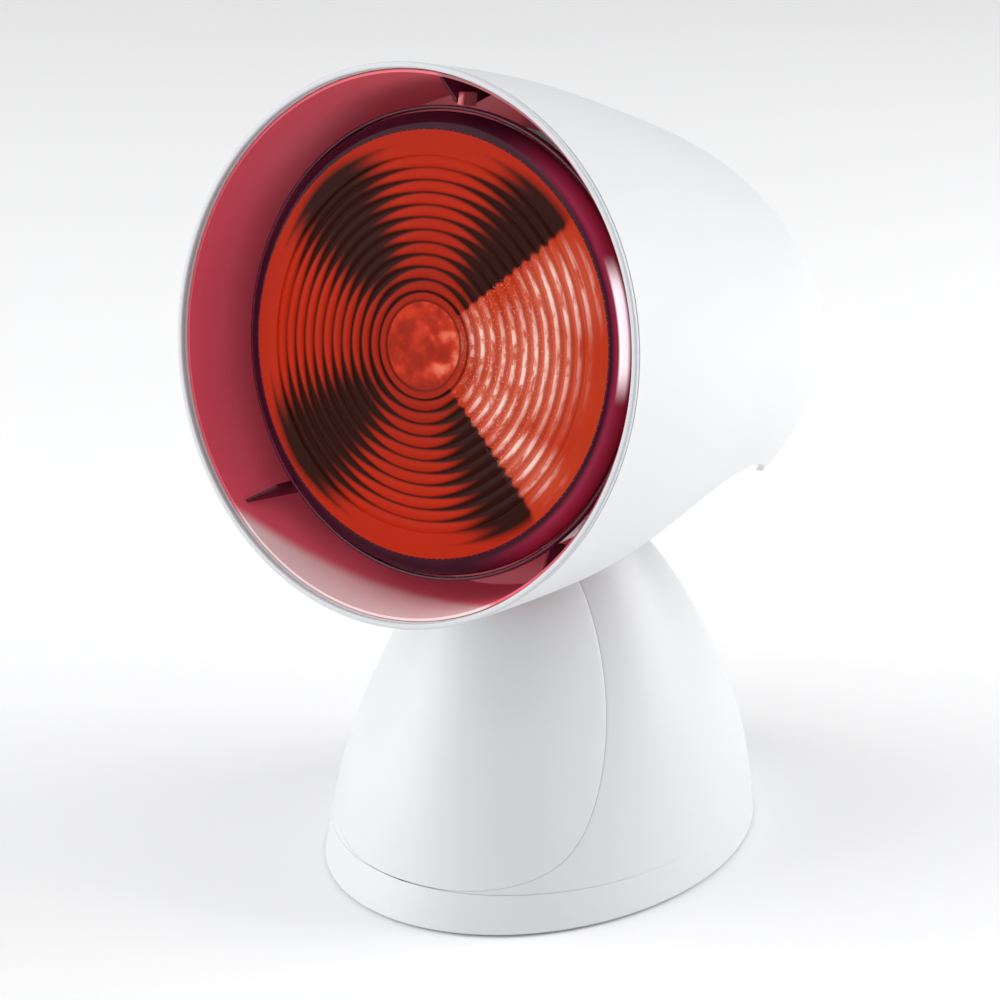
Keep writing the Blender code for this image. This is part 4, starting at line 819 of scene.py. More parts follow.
def liner_mesh():
    """Return the liner: along the shade's wall, then in towards the bulb."""
    def ring(radius, v, drop):
        angles = [2 * math.pi * i / LINER_SIDES for i in range(LINER_SIDES)]
        return [(radius * math.cos(a), v, radius * math.sin(a) - drop) for a in angles]

    inset = SHADE_WALL + 0.3 * MM
    depths = spread(2.1 * MM, LINER_DEPTH - 1.5 * MM, 24)
    rows = [ring(shade_radius(v) - inset, v, shade_drop(v)) for v in depths]
    corner = shade_radius(LINER_DEPTH) - inset
    for share, back in ((0.2 * MM, 0.9 * MM), (0.9 * MM, 0.2 * MM), (2.0 * MM, 0)):
        rows.append(ring(corner - share, LINER_DEPTH - back, shade_drop(LINER_DEPTH)))
    rows.append(ring(LINER_FLANGE, LINER_DEPTH, 0))
    bm = skin(rows)
    mesh = mesh_of("shade_liner_smooth", bm)
    face_out(mesh, Vector((0, LINER_DEPTH / 2, 0)))
    mesh.transform(SHADE)
    return mesh


liner = put("shade_liner_smooth", liner_mesh(), finish=CRIMSON)
wall(liner, LINER_SHEET)
applied(liner)
shade_edges(liner.data)
attach(liner, "shade", ("shade_liner",))
print("liner:", len(liner.data.polygons), "faces")

# %% Guard ring, webs and clip
GUARD_INNER, GUARD_OUTER = 61.0 * MM, 62.1 * MM
GUARD_FRONT, GUARD_BACK = 18.2 * MM, 20.5 * MM
WEB_SHEET = 1.2 * MM
WEB_ANGLES = {"web_top": 90, "web_right": -45, "web_left": -133}


def guard_mesh():
    corners = [
        (GUARD_OUTER, GUARD_BACK), (GUARD_OUTER, GUARD_FRONT),
        (GUARD_INNER, GUARD_FRONT), (GUARD_INNER, GUARD_BACK),
    ]
    return turned("guard_ring_smooth", rounded_outline(corners, 0.5 * MM, 4), SHADE, 256, closed=True)


def liner_wall(v, angle):
    """Return how far from the axis the liner's inner face lies in one direction."""
    inset = SHADE_WALL + 0.3 * MM + LINER_SHEET + 0.3 * MM
    return shade_radius(v) - inset - shade_drop(v) * math.sin(angle * DEGREE)


def web_mesh(name, angle):
    """Return a web cut from sheet, with a torn-looking step where it was sheared from the ring."""
    outline = [(liner_wall(v, angle), v) for v in spread(6 * MM, 34 * MM, 12)]
    outline += [(liner_wall(30 * MM, angle) - 2.5 * MM, 30 * MM), (GUARD_OUTER + 0.3 * MM, GUARD_BACK)]
    outline += [(GUARD_OUTER + 0.3 * MM, GUARD_FRONT), (GUARD_OUTER + 1.4 * MM, 13.6 * MM)]
    outline += [(GUARD_OUTER + 2.2 * MM, 13.2 * MM)]
    half = WEB_SHEET / 2
    rows = [[(r, v, z) for r, v in outline] for z in (-half, half)]
    place = SHADE @ Matrix.Rotation(-angle * DEGREE, 4, "Y")
    return mesh_of(name, skin(rows, start="flat", end="flat"), place)


guard = put("guard_ring_smooth", guard_mesh(), "shade", DARK_CRIMSON, ("guard_ring",))
for node, angle in WEB_ANGLES.items():
    web = put(f"{node}_smooth", web_mesh(f"{node}_smooth", angle), finish=DARK_CRIMSON)
    round_edges(web, 0.25 * MM, 2)
    applied(web)
    shade_edges(web.data)
    attach(web, "shade", (node,))

clip_low = (0.9 * MM, 13.5 * MM, 62.6 * MM)
clip_high = (2.9 * MM, 19.5 * MM, 66.1 * MM)
clip_mesh = block(clip_low, clip_high, SHADE, 0.4 * MM)
clip = put("web_clip_smooth", clip_mesh, "shade", CRIMSON, ("web_clip",))
print("guard, webs and clip placed")

# %% [markdown]
# ## The bulb's ribbed face
# The front glass is pressed with rings 3.2 mm apart: rounded ribs with sharp valleys between them,
# round a plain mottled middle. The ribs are real shape here, because they catch the light one by one. A
# flat grid is wrapped to a disc by Geometry Nodes: its X becomes the angle and its Y the radius, and the
# depth is a sum of the radius.

# %% Ribbed disc
LENS_RADIUS = 56 * MM
LENS_WALL = 1.8 * MM
LENS_CORE = 11.5 * MM
LENS_CROWN = 12.2 * MM
LENS_RISE = 1.85 * MM
RIB_START, RIB_END, RIB_PITCH, RIB_DEPTH = 14.0 * MM, 49.2 * MM, 3.2 * MM, 0.45 * MM


def ribbed_disc_tree(finish):
    """Wrap a grid to a disc whose depth follows the crown and the ribs."""
    tree = Shape("ribbed_disc", turns=192, rings=225, radius=LENS_RADIUS, pitch=RIB_PITCH, rib=RIB_DEPTH)
    grid_sizes = {
        "Size X": 2 * math.pi, "Size Y": 1.0,
        "Vertices X": tree.size("turns"), "Vertices Y": tree.size("rings"),
    }
    grid = tree.node("GeometryNodeMeshGrid", None, grid_sizes)
    x, y, _ = tree.position()
    radius = (y + 0.5) * tree.size("radius")
    crown = LENS_CROWN + LENS_RISE * (radius / tree.size("radius")) ** 2
    wave = 1 - abs(((radius - RIB_START) * (math.pi / tree.size("pitch"))).sine())
    inside = radius.above(RIB_START) * (1 - radius.above(RIB_END))
    mottled = tree.node("ShaderNodeTexNoise", None, {
        "Vector": tree.vector(x.sine() * radius, (x + math.pi / 2).sine() * radius, 0),
        "Scale": 1 / (5 * MM), "Detail": 2.0,
    })
    middle = (1 - radius.above(LENS_CORE)) * mottled * (0.5 * MM)
    depth = crown + wave * tree.size("rib") * inside + middle
    target = tree.vector((x + math.pi / 2).sine() * radius, depth, x.sine() * radius)
    disc = tree.node("GeometryNodeSetPosition", None, {"Geometry": grid, "Position": target})
    closed = tree.node("GeometryNodeMergeByDistance", None, {"Geometry": disc, "Distance": 0.02 * MM})
    tree.end(closed, finish)
    return tree


# %% [markdown]
# The glass is stained deep orange-red. Over it lies a painted reflection of the folded reflector behind it,
# in bright and dark quarters. Painted shade darkens the valleys between the ribs, painted highlights make
# the ribs on the right shine almost white, and a faint glow is painted light too. The pattern is painted in
# the bulb's own frame, with the angle round the axis and the radius, so it turns with the lamp and not with
# the camera.

# %% Stained glass finish
# Dark quarters of the painted reflection: start and stop angle, and the soft width at each, in degrees.
DARK_QUARTERS = ((44, 69, 2, 22), (118, 154, 20, 20), (206, 243, 20, 20), (296, 317, 20, 2))
# Patches of painted highlight: middle angle, radius in mm, and the width and length they spread over.
HIGHLIGHT_PATCHES = ((27, 43, 15, 11), (3, 33, 26, 14), (-33, 41, 9, 11), (14, 18, 26, 6), (-24, 26, 16, 9))


def stained_glass():
    """Orange-red ribbed glass, with a painted reflection, painted shade and painted highlights."""
    glass = Finish("ribbed_orange_glass", specular_ior_level=0.04)
    here = glass.place(**SHADE_PLACE)
    x, _, w = [glass.node("ShaderNodeSeparateXYZ", None, {0: here}, output=i) for i in range(3)]
    radius = (x * x + w * w).root()
    around = w.math("ARCTAN2", x).wrapped(0, 2 * math.pi)
    turn = around / DEGREE
    aside = turn.wrapped(-180, 180)
    cloud = glass.noise(12 * MM, detail=2)
    arcs = glass.noise(1.0, detail=3, at=glass.vector(around * 2.2, radius * 330, 0))
    # Painted reflection: dark quarters where the folded reflector would show dark, with edges made jagged by
    # the arcs.
    dark = None
    for start, stop, soft_start, soft_stop in DARK_QUARTERS:
        quarter = glass.smooth(turn, start - soft_start, start + soft_start)
        quarter = quarter * glass.smooth(turn, stop + soft_stop, stop - soft_stop)
        dark = quarter if dark is None else dark.highest(quarter)
    dark = dark * glass.smooth(radius, 8 * MM, 28 * MM) * glass.smooth(radius, 60 * MM, 50 * MM)
    wave = abs(((radius - RIB_START) * (math.pi / RIB_PITCH)).sine())
    ribbed = glass.smooth(radius, 13 * MM, 14 * MM) * glass.smooth(radius, 50.5 * MM, 44 * MM, 0.3, 1)
    ribbed = ribbed * glass.smooth(radius, 54.5 * MM, 53 * MM)
    # Painted shade in the valleys between the ribs, stronger on the inner left and weaker on the lit right
    # side.
    valley_shade = (1 - wave) * ribbed
    right = glass.smooth(abs(aside), 46, 42) * glass.smooth(radius, 9 * MM, 20 * MM)
    inner_left_shade = glass.smooth(radius, 30 * MM, 15 * MM) * glass.smooth(x, 8 * MM, -12 * MM)
    lines = valley_shade * (1.0 + inner_left_shade * 0.4 - right * 0.45)
    depth = dark * 1.25 + lines + (arcs - 0.5) * 0.16
    black = glass.smooth(depth, 0.34, 1.10)
    plain = glass.mix(glass.smooth(radius, 12 * MM, 44 * MM), (0.29, 0.014, 0.004), (0.42, 0.019, 0.004))
    plain = glass.mix(cloud * 0.4, plain, (0.32, 0.012, 0.003))
    # Painted light: the right side of the glass is brighter.
    lit = glass.mix(arcs, (0.48, 0.040, 0.010), (0.38, 0.022, 0.005))
    colour = glass.mix(right, plain, lit)
    colour = glass.mix(black, colour, (0.024, 0.004, 0.002))
    # Painted highlights: a pinkish wash over the listed patches on the right, then white glints on the rib
    # crests, broken into streaks.
    patches = None
    for middle, reach, wide, long in HIGHLIGHT_PATCHES:
        off = ((aside - middle) / wide) ** 2 + ((radius / MM - reach) / long) ** 2
        patch = glass.smooth(off.root(), 1.5, 0.2)
        patches = patch if patches is None else patches.highest(patch)
    patches = patches * right
    colour = glass.mix(patches * 0.30, colour, (0.70, 0.22, 0.14))
    streak = glass.noise(1.0, detail=4, roughness=0.6, at=glass.vector(around * 5, radius * 420, 3))
    glint = glass.smooth(wave, 0.68, 0.99) * glass.smooth(streak, 0.38, 0.58)
    colour = glass.mix(patches * glint * 0.9, colour, (0.88, 0.62, 0.55))
    grain = glass.noise(0.5 * MM, detail=2)
    # Painted highlights: bright specks on the right.
    highlight_specks = right * glass.smooth(grain, 0.60, 0.70) * glass.smooth(radius, 50 * MM, 30 * MM)
    colour = glass.mix(highlight_specks * 0.45, colour, (0.85, 0.42, 0.32))
    core = glass.smooth(radius, 12.0 * MM, 11.2 * MM)
    swirl = glass.noise(6 * MM, detail=3, roughness=0.5)
    middle = glass.mix(glass.smooth(swirl, 0.36, 0.62), (0.28, 0.016, 0.006), (0.50, 0.032, 0.010))
    # Painted highlight on the right of the plain middle.
    shine = glass.smooth(swirl, 0.50, 0.72) * glass.smooth(x, -3 * MM, 9 * MM)
    middle = glass.mix(shine * 0.8, middle, (0.74, 0.20, 0.12))
    ring = glass.smooth(abs(radius - 11.8 * MM), 0.6 * MM, 0.1 * MM)
    colour = glass.mix(ring * 0.75, glass.mix(core, colour, middle), (0.10, 0.008, 0.004))
    glass.set(base_color=colour, roughness=0.24 + grain * 0.10)
    # Painted light: a faint glow of the glass's own colour.
    glass.set(emission_color=glass.mix(0.86, colour, (0, 0, 0)), emission_strength=1.0)
    return glass.bump(grain, 0.02 * MM)


ORANGE_GLASS = stained_glass()
ribbed_disc = ribbed_disc_tree(ORANGE_GLASS)
seed_mesh = bpy.data.meshes.new("lens_seed")
lens_face = ribbed_disc.grow("bulb_lens_ribbed", seed_mesh)
face_out(lens_face, Vector((0, 60 * MM, 0)))
lens_face.transform(SHADE)
bulb_lens = put("bulb_lens_ribbed", lens_face)
wall(bulb_lens, LENS_WALL)
applied(bulb_lens)
shade_edges(bulb_lens.data, 60 * DEGREE)
attach(bulb_lens, "shade", ("bulb_lens",))
print("lens:", len(bulb_lens.data.polygons), "faces")

# %% [markdown]
# ## The bulb's rim and bowl
# Round the ribbed face the glass is thick and so deep a red that it looks purple-black. It is fused to the
# bowl, which is silvered inside and shows only from behind.

# %% Dark glass rim and bowl
def ruby_glass():
    """Thick dark red glass, with painted light crimson on its right shoulder and a painted white streak."""
    glass = Finish("ruby_glass", coat_weight=0.05, coat_roughness=0.08, specular_ior_level=0.06)
    drift = glass.noise(10 * MM, detail=2)
    here = glass.place(**SHADE_PLACE)
    x, _, w = [glass.node("ShaderNodeSeparateXYZ", None, {0: here}, output=i) for i in range(3)]
    radius = (x * x + w * w).root()
    turn = w.math("ARCTAN2", x) / DEGREE
    colour = glass.mix(drift, (0.050, 0.005, 0.018), (0.032, 0.003, 0.012))
    # Painted light: the shoulder is crimson on the right, where the light falls, and stays dark elsewhere.
    band = glass.smooth(radius, 56.4 * MM, 58.4 * MM)
    side = glass.smooth(abs(turn - 4), 76, 40) * band
    colour = glass.mix(side, colour, (0.40, 0.032, 0.085))
    # Painted highlight: a white streak along the shoulder on the right, which also glows.
    streak = glass.smooth(abs(turn - 14), 19, 8) * glass.smooth(abs(radius - 59.3 * MM), 1.1 * MM, 0.5 * MM)
    colour = glass.mix(streak, colour, (0.92, 0.80, 0.86))
    glass.set(base_color=colour, roughness=0.10 + drift * 0.05)
    glass.set(emission_color=glass.mix(streak, (0, 0, 0), (0.75, 0.66, 0.70)), emission_strength=1.0)
    return glass.bump(drift, 0.05 * MM)


RUBY = ruby_glass()
BULB_RADIUS = 60.5 * MM
BOWL_START, BOWL_END = 19.1 * MM, 118.2 * MM
BOWL_SHARES = (
    (1, 0), (0.985, 0.05), (0.91, 0.19), (0.76, 0.395), (0.58, 0.60), (0.43, 0.76),
    (0.335, 0.88), (0.27, 0.965), (0.215, 1),
)


def bulb_rim_mesh():
    """Return the rounded glass shoulder between the ribbed face and the bowl."""
    lip, back = LENS_CROWN + LENS_RISE, 18.8 * MM
    across, along = BULB_RADIUS - LENS_RADIUS, back - lip
    shoulder = [
        (LENS_RADIUS + across * math.sin(a), back - along * math.cos(a)) for a in spread(0, math.pi / 2, 12)
    ]
    inner = LENS_RADIUS - 0.3 * MM
    outline = [(inner, lip + 0.6 * MM), (inner, lip - 0.02 * MM), *shoulder, (inner, back)]
    return turned("bulb_rim_glass", outline, SHADE, 256, closed=True, sharp=70 * DEGREE)


def bowl_mesh():
    """Return the reflector bowl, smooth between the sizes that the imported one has."""
    heights = [share for _, share in BOWL_SHARES]
    radius = natural_spline(heights, [share for share, _ in BOWL_SHARES])
    steps = spread(0, 1, 60)
    depth = BOWL_END - BOWL_START
    outer = [(BULB_RADIUS * radius(t), BOWL_START + depth * t) for t in steps]
    inner = [(r - 1.5 * MM, v) for r, v in outer[:-1]]
    end = [(outer[-1][0] - 1.5 * MM, BOWL_END - 1.5 * MM), (0, BOWL_END - 1.5 * MM)]
    outline = [(0, BOWL_END), *reversed(outer), *inner, *end]
    return turned("bulb_bowl_smooth", outline, SHADE, 128, sharp=50 * DEGREE)


bulb_rim = put("bulb_rim_glass", bulb_rim_mesh(), "shade", RUBY)
bowl = put("bulb_bowl_smooth", bowl_mesh(), "shade", RUBY, ("bulb_bowl",))
print("bulb rim and bowl:", len(bulb_rim.data.polygons), len(bowl.data.polygons), "faces")

# %% [markdown]
# ## Stand
# The stand's body and its raised front cover are both ellipses at every height, of slightly different
# sizes. Where the two surfaces cross there is a soft U-shaped crease, from the foot up both sides. The
# crossing is worked out height by height, and each shell is a grid that ends exactly there. So their edges
# can be rounded like a moulding's, which a cut through a dense mesh wouldn't allow.

# %% Sections of the stand
HALF_WIDTH, HALF_DEPTH = 57.4 * MM, 72.2 * MM
LEVELS = [share * 115 * MM for share in (0, 0.261, 0.522, 0.783, 1)]
STAND_WALL = 2.5 * MM
STAND_LIFT = 1.0 * MM
DOME_START, DOME_TOP = 98 * MM, 104.5 * MM
COVER_TOP = 96 * MM


def section_track(widths, depths, shifts):
    """Return a function from height to half width, half depth and middle of an ellipse."""
    tracks = [
        natural_spline(LEVELS, [share * size for share in shares])
        for shares, size in ((widths, HALF_WIDTH), (depths, HALF_DEPTH), (shifts, HALF_DEPTH))
    ]
    return lambda z: tuple(track(z) for track in tracks)


body_section = section_track(
    (1, 0.941, 0.761, 0.497, 0.186), (1, 0.867, 0.652, 0.377, 0.078), (0, 0.025, 0.043, 0.017, -0.036)
)
cover_section = section_track(
    (0.993, 0.890, 0.706, 0.460, 0.176),
    (0.963, 0.892, 0.738, 0.503, 0.199),
    (0.004, -0.011, 0.007, 0.057, 0.133),
)


def crease(z):
    """Return x and y where the cover's surface crosses the body's at one height."""
    wide, deep, middle = body_section(z)
    cover_wide, cover_deep, cover_middle = cover_section(z)
    body_ratio, cover_ratio = (wide / deep) ** 2, (cover_wide / cover_deep) ** 2
    a = cover_ratio - body_ratio
    b = 2 * (body_ratio * middle - cover_ratio * cover_middle)
    c = wide**2 - cover_wide**2 - body_ratio * middle**2 + cover_ratio * cover_middle**2
    root = math.sqrt(max(b * b - 4 * a * c, 0))
    front = middle - deep
    places = [y for y in ((-b - root) / (2 * a), (-b + root) / (2 * a)) if y >= front]
    y = min(places, default=front)
    return math.sqrt(max(wide**2 - body_ratio * (y - middle) ** 2, 0)), y


def crease_foot():
    """Return the height where the cover's front leaves the body's front."""
    low, high = 0, COVER_TOP / 2
    for _ in range(30):
        z = (low + high) / 2
        body, cover = body_section(z), cover_section(z)
        low, high = (low, z) if cover[2] - cover[1] < body[2] - body[1] else (z, high)
    return high


FOOT = crease_foot()
print("crease starts at", round(FOOT / MM, 2), "mm")

# %% Front cover
SEAM = 0.05 * MM
COVER_WALL, COVER_EDGE = 2.0 * MM, 0.5 * MM
COVER_ROWS, COVER_COLUMNS = 110, 96


def on_section(section, z, angle):
    """Return a point of an ellipse; the angle starts at the front and runs to the right."""
    wide, deep, middle = section(z)
    return Vector((wide * math.sin(angle), middle - deep * math.cos(angle), z))


def crease_angle(section, z):
    """Return the angle on an ellipse where the crease lies."""
    x, y = crease(z)
    wide, deep, middle = section(z)
    return math.atan2(x / wide, (middle - y) / deep)


def cover_mesh():
    """Return the cover's outer skin: a grid between the two sides of the crease."""
    rows = []
    for s in spread(0.06, 1, COVER_ROWS):
        z = FOOT + SEAM + (COVER_TOP - FOOT - SEAM) * s**2
        wide = cover_section(z)[0]
        limit = crease_angle(cover_section, z - SEAM / 2) - SEAM / wide
        limit = max(limit, 0.02)
        rows.append([on_section(cover_section, z, a) for a in spread(-limit, limit, COVER_COLUMNS)])
    bm = skin(rows, closed=False)
    mesh = mesh_of("front_cover_smooth", bm)
    face_out(mesh, Vector((0, 0, 40 * MM)))
    mesh.transform(LAMP)
    return mesh


cover = put("front_cover_smooth", cover_mesh(), finish=WHITE)
wall(cover, COVER_WALL)
round_edges(cover, COVER_EDGE)
applied(cover)
shade_edges(cover.data)
attach(cover, "stand", ("front_cover",))
print("front cover:", len(cover.data.polygons), "faces")

# %% Rear shell's skin
SHELL_COLUMNS = 200
SHELL_EDGE = 0.4 * MM
DOME_SHARES = (
    (0, 1), (0.2, 0.994), (0.45, 0.97), (0.65, 0.92), (0.8, 0.84), (0.9, 0.73), (0.96, 0.58), (0.99, 0.35)
)


def shell_mesh():
    """Return the body's outer skin, open in front where the cover lies."""
    bm = bmesh.new()

    def line(z, angles, share=1.0, level=None):
        row = []
        for a in angles:
            point = on_section(body_section, level or z, a)
            middle = body_section(level or z)[2]
            row.append(bm.verts.new((point.x * share, middle + (point.y - middle) * share, z)))
        return row

    def join(low, high, closed):
        for i in range(len(low) - (not closed)):
            j = (i + 1) % len(low)
            bm.faces.new((low[i], low[j], high[j], high[i]))

    rows = [line(z, spread(0, 2 * math.pi, SHELL_COLUMNS)) for z in spread(STAND_LIFT, FOOT - SEAM, 14)]
    for s in spread(0.05, 1, 110):
        z = FOOT - SEAM + (COVER_TOP + SEAM - FOOT + SEAM) * s**2
        limit = crease_angle(body_section, min(z + SEAM / 2, COVER_TOP)) + SEAM / body_section(z)[0]
        rows.append(line(z, spread(limit, 2 * math.pi - limit, SHELL_COLUMNS)))
    for low, high in zip(rows, rows[1:]):
        join(low, high, closed=False)
    top = rows[-1]
    front_count = 40
    z = top[0].co.z
    front = line(z, spread(-limit, limit, front_count))
    ring_angles = spread(limit, 2 * math.pi - limit, SHELL_COLUMNS)
    ring_angles += spread(-limit, limit, front_count)[1:-1]
    ring = top + front[1:-1]
    for extra in (front[0], front[-1]):
        bm.verts.remove(extra)
    levels = spread(z + 0.5 * MM, DOME_START, 3)
    previous = ring
    for level in levels:
        row = line(level, ring_angles)
        join(previous, row, closed=True)
        previous = row
    for rise, share in DOME_SHARES[1:]:
        row = line(DOME_START + (DOME_TOP - DOME_START) * rise, ring_angles, share, DOME_START)
        join(previous, row, closed=True)
        previous = row
    tip = bm.verts.new((0, body_section(DOME_START)[2], DOME_TOP))
    for i, vertex in enumerate(previous):
        bm.faces.new((vertex, previous[(i + 1) % len(previous)], tip))
    mesh = mesh_of("rear_shell_smooth", bm)
    face_out(mesh, Vector((0, 0, 40 * MM)))
    mesh.transform(LAMP)
    return mesh


rear_shell = put("rear_shell_smooth", shell_mesh(), finish=WHITE)
wall(rear_shell, STAND_WALL)
round_edges(rear_shell, SHELL_EDGE)
applied(rear_shell)
print("rear shell:", len(rear_shell.data.polygons), "faces")

# %% [markdown]
# The back of the body carries two pads: a rounded rectangle for the switch, square to the sloping wall,
# and a round one for the cord gland. Both are joined to the shell and bored. The slot in the dome lets
# the hinge's ears through.

# %% Slot, pads and holes of the rear shell
SWITCH_Z, SWITCH_RISE = 42 * MM, 1.4 * MM
INLET_PLACE = Matrix.Translation((0, 53.4 * MM, 16.5 * MM))


def switch_frame():
    """Return the frame of the switch: its Y stands out of the sloping back."""
    low, high = body_section(SWITCH_Z - STAND_WALL), body_section(SWITCH_Z + STAND_WALL)
    lean = math.atan2(low[1] + low[2] - high[1] - high[2], 2 * STAND_WALL)
    wide, deep, middle = body_section(SWITCH_Z)
    out = Vector((0, math.cos(lean), math.sin(lean)))
    place = Vector((0, middle + deep, SWITCH_Z)) + out * SWITCH_RISE
    return LAMP @ Matrix.Translation(place) @ Matrix.Rotation(lean, 4, "X")


SWITCH = switch_frame()
print("switch frame:", [round(c / MM, 2) for c in SWITCH.translation])
slot_low, slot_high = (-8.6 * MM, 3.5 * MM, 84 * MM), (8.6 * MM, 80 * MM, 110 * MM)
combine(rear_shell, "DIFFERENCE", block(slot_low, slot_high, LAMP))
pad_low, pad_high = (-11.5 * MM, -6.5 * MM, -15.5 * MM), (11.5 * MM, 0, 15.5 * MM)
combine(rear_shell, "UNION", block(pad_low, pad_high, SWITCH, 1.2 * MM, 5))
hole_low, hole_high = (-6.8 * MM, -16 * MM, -10.1 * MM), (6.8 * MM, 5 * MM, 10.1 * MM)
combine(rear_shell, "DIFFERENCE", block(hole_low, hole_high, SWITCH))

pad_outline = rounded_outline([(9.5 * MM, -8 * MM), (9.5 * MM, 0), (0, 0)], 1.0 * MM, 4, closed=False)
pad = turned("inlet_pad", [(0, -8 * MM), *pad_outline], INLET_PLACE, 96)
combine(rear_shell, "UNION", pad)
bore_outline = [(0, -13 * MM), (5.1 * MM, -13 * MM), (5.1 * MM, 5 * MM), (0, 5 * MM)]
bore = turned("inlet_bore", bore_outline, INLET_PLACE, 64)
combine(rear_shell, "DIFFERENCE", bore)
shade_edges(rear_shell.data)
attach(rear_shell, "stand", ("rear_shell",))
print("rear shell cut:", len(rear_shell.data.polygons), "faces")

# %% [markdown]
# ## Switch
# A snap-in rocker switch: a frame with a rounded flange, and a key that dips in the middle. The key has a
# bar and a ring in raised lines, the usual marks for on and off.

# %% Switch housing and key
def housing_mesh():
    """Return the frame of the switch with its pocket."""
    frame_low, frame_high = (-6.5 * MM, -16 * MM, -9.8 * MM), (6.5 * MM, 0.6 * MM, 9.8 * MM)
    holder = put("housing_tool", block(frame_low, frame_high, SWITCH))
    flange = block((-8.7 * MM, 0.3 * MM, -12 * MM), (8.7 * MM, 1.9 * MM, 12 * MM), SWITCH, 0.5 * MM)
    combine(holder, "UNION", flange)
    pocket = block((-5.1 * MM, -7.2 * MM, -8.4 * MM), (5.1 * MM, 5 * MM, 8.4 * MM), SWITCH)
    combine(holder, "DIFFERENCE", pocket)
    round_edges(holder, 0.2 * MM, 2)
    mesh = applied(holder)
    bpy.data.objects.remove(holder)
    shade_edges(mesh)
    return mesh


KEY_HALF, KEY_HEEL, KEEL_RADIUS = 7.4 * MM, 7.03 * MM, 4.4 * MM
ROCKER = SWITCH @ Matrix.Translation((0, -1.2 * MM, 0)) @ Matrix.Rotation(8 * DEGREE, 4, "X")


def key_face(z):
    """Return how far the key's face stands out at a height on it."""
    return (2.4 + 1.8 * (z / KEY_HALF) ** 2) * MM


def key_mesh():
    """Return the key: a dished face above a round keel."""
    keel = spread(240 * DEGREE, 120 * DEGREE, 13)
    outline = [(key_face(z), z) for z in spread(KEY_HALF, -KEY_HALF, 17)]
    outline += [(0, -KEY_HEEL)]
    outline += [(KEEL_RADIUS * math.cos(a), KEEL_RADIUS * math.sin(a)) for a in keel]
    outline += [(0, KEY_HEEL)]
    rows = [[(x, y, z) for y, z in outline] for x in (-4.8 * MM, 4.8 * MM)]
    holder = put("key_tool", mesh_of("key", skin(rows, start="flat", end="flat"), ROCKER))
    round_edges(holder, 0.35 * MM)
    mesh = applied(holder)
    bpy.data.objects.remove(holder)
    shade_edges(mesh)
    return mesh


def marks_mesh():
    """Return the bar and the ring that stand on the key's two halves."""
    bm = bmesh.new()
    rise = 0.12 * MM
    bar = [(-0.3, 2.6), (0.3, 2.6), (0.3, 5.2), (-0.3, 5.2)]
    low = [bm.verts.new((x * MM, key_face(z * MM) - rise, z * MM)) for x, z in bar]
    high = [bm.verts.new((x * MM, key_face(z * MM) + rise, z * MM)) for x, z in bar]
    for i in range(4):
        j = (i + 1) % 4
        bm.faces.new((low[i], low[j], high[j], high[i]))
    bm.faces.new(high)
    bm.faces.new(low)
    rings = []
    for radius, lift in ((1.3, -1), (1.3, 1), (0.8, 1), (0.8, -1)):
        ring = []
        for i in range(40):
            a = 2 * math.pi * i / 40
            z = (-3.9 + radius * math.sin(a)) * MM
            ring.append(bm.verts.new((radius * math.cos(a) * MM, key_face(z) + lift * rise, z)))
        rings.append(ring)
    for ring, following in zip(rings, rings[1:] + rings[:1]):
        for i in range(40):
            j = (i + 1) % 40
            bm.faces.new((ring[i], ring[j], following[j], following[i]))
    return mesh_of("switch_marks", bm, ROCKER)


housing = put("switch_housing_smooth", housing_mesh(), "stand", BLACK, ("switch_housing",))
key = put("switch_key", key_mesh(), "rocker", BLACK, ("switch_rocker",))
marks = put("switch_marks", marks_mesh(), "rocker", MARKS)
print("switch placed")

# %% [markdown]
# ## Cord gland, feet and base screws
# The gland is a tapered rubber nose with rings, where a cord would enter. Rings, feet and screws repeat,
# so Geometry Nodes place copies on points: one ring, one foot or one screw is made once.

# %% Copies on points
def copies_tree(name, finish, source):
    """Place a copy of a source piece on each point of the start mesh, scaled by its own size."""
    tree = Shape(name, scale=1.0)
    settings = {"transform_space": "ORIGINAL"}
    info = tree.node("GeometryNodeObjectInfo", settings, {"Object": source}, output="Geometry")
    size = tree.node("GeometryNodeInputNamedAttribute", {"data_type": "FLOAT"}, {"Name": "radius"})
    grown = size * tree.size("scale")
    values = {"Points": tree.start, "Instance": info, "Scale": tree.vector(grown, grown, grown)}
    placed = tree.node("GeometryNodeInstanceOnPoints", None, values)
    tree.end(placed, finish)
    return tree


def points_mesh(name, places, sizes=None):
    """Return loose points that carry a size each."""
    mesh = bpy.data.meshes.new(name)
    mesh.from_pydata(places, [], [])
    radius = mesh.attributes.new("radius", "FLOAT", "POINT")
    for i, item in enumerate(radius.data):
        item.value = sizes[i] if sizes else 1.0
    return mesh


def repeated(name, source_mesh, places, finish, place, sizes=None):
    """Return one plain mesh with a copy of the source at each place."""
    source = put(f"{name}_source", source_mesh)
    tree = copies_tree(name, finish, source)
    mesh = tree.grow(name, points_mesh(name, places, sizes), place)
    bpy.data.objects.remove(source)
    return mesh


# %% Gland
GLAND_RINGS = 5


def gland_mesh():
    """Return the gland's body: a plain neck for the threaded one in the wall, a collar and a tapered nose.
    """
    outline = [
        (3.5 * MM, -12.5 * MM), (4.8 * MM, -12.5 * MM), (4.8 * MM, 0.3 * MM), (7.0 * MM, 0.3 * MM),
        (7.2 * MM, 0.6 * MM), (7.2 * MM, 2.2 * MM), (6.8 * MM, 2.8 * MM), (4.8 * MM, 2.9 * MM),
        (4.3 * MM, 7.1 * MM), (4.1 * MM, 7.4 * MM), (3.6 * MM, 7.4 * MM), (3.5 * MM, 7.1 * MM),
    ]
    return turned("cord_gland_smooth", outline, INLET_PLACE, 96, closed=True)


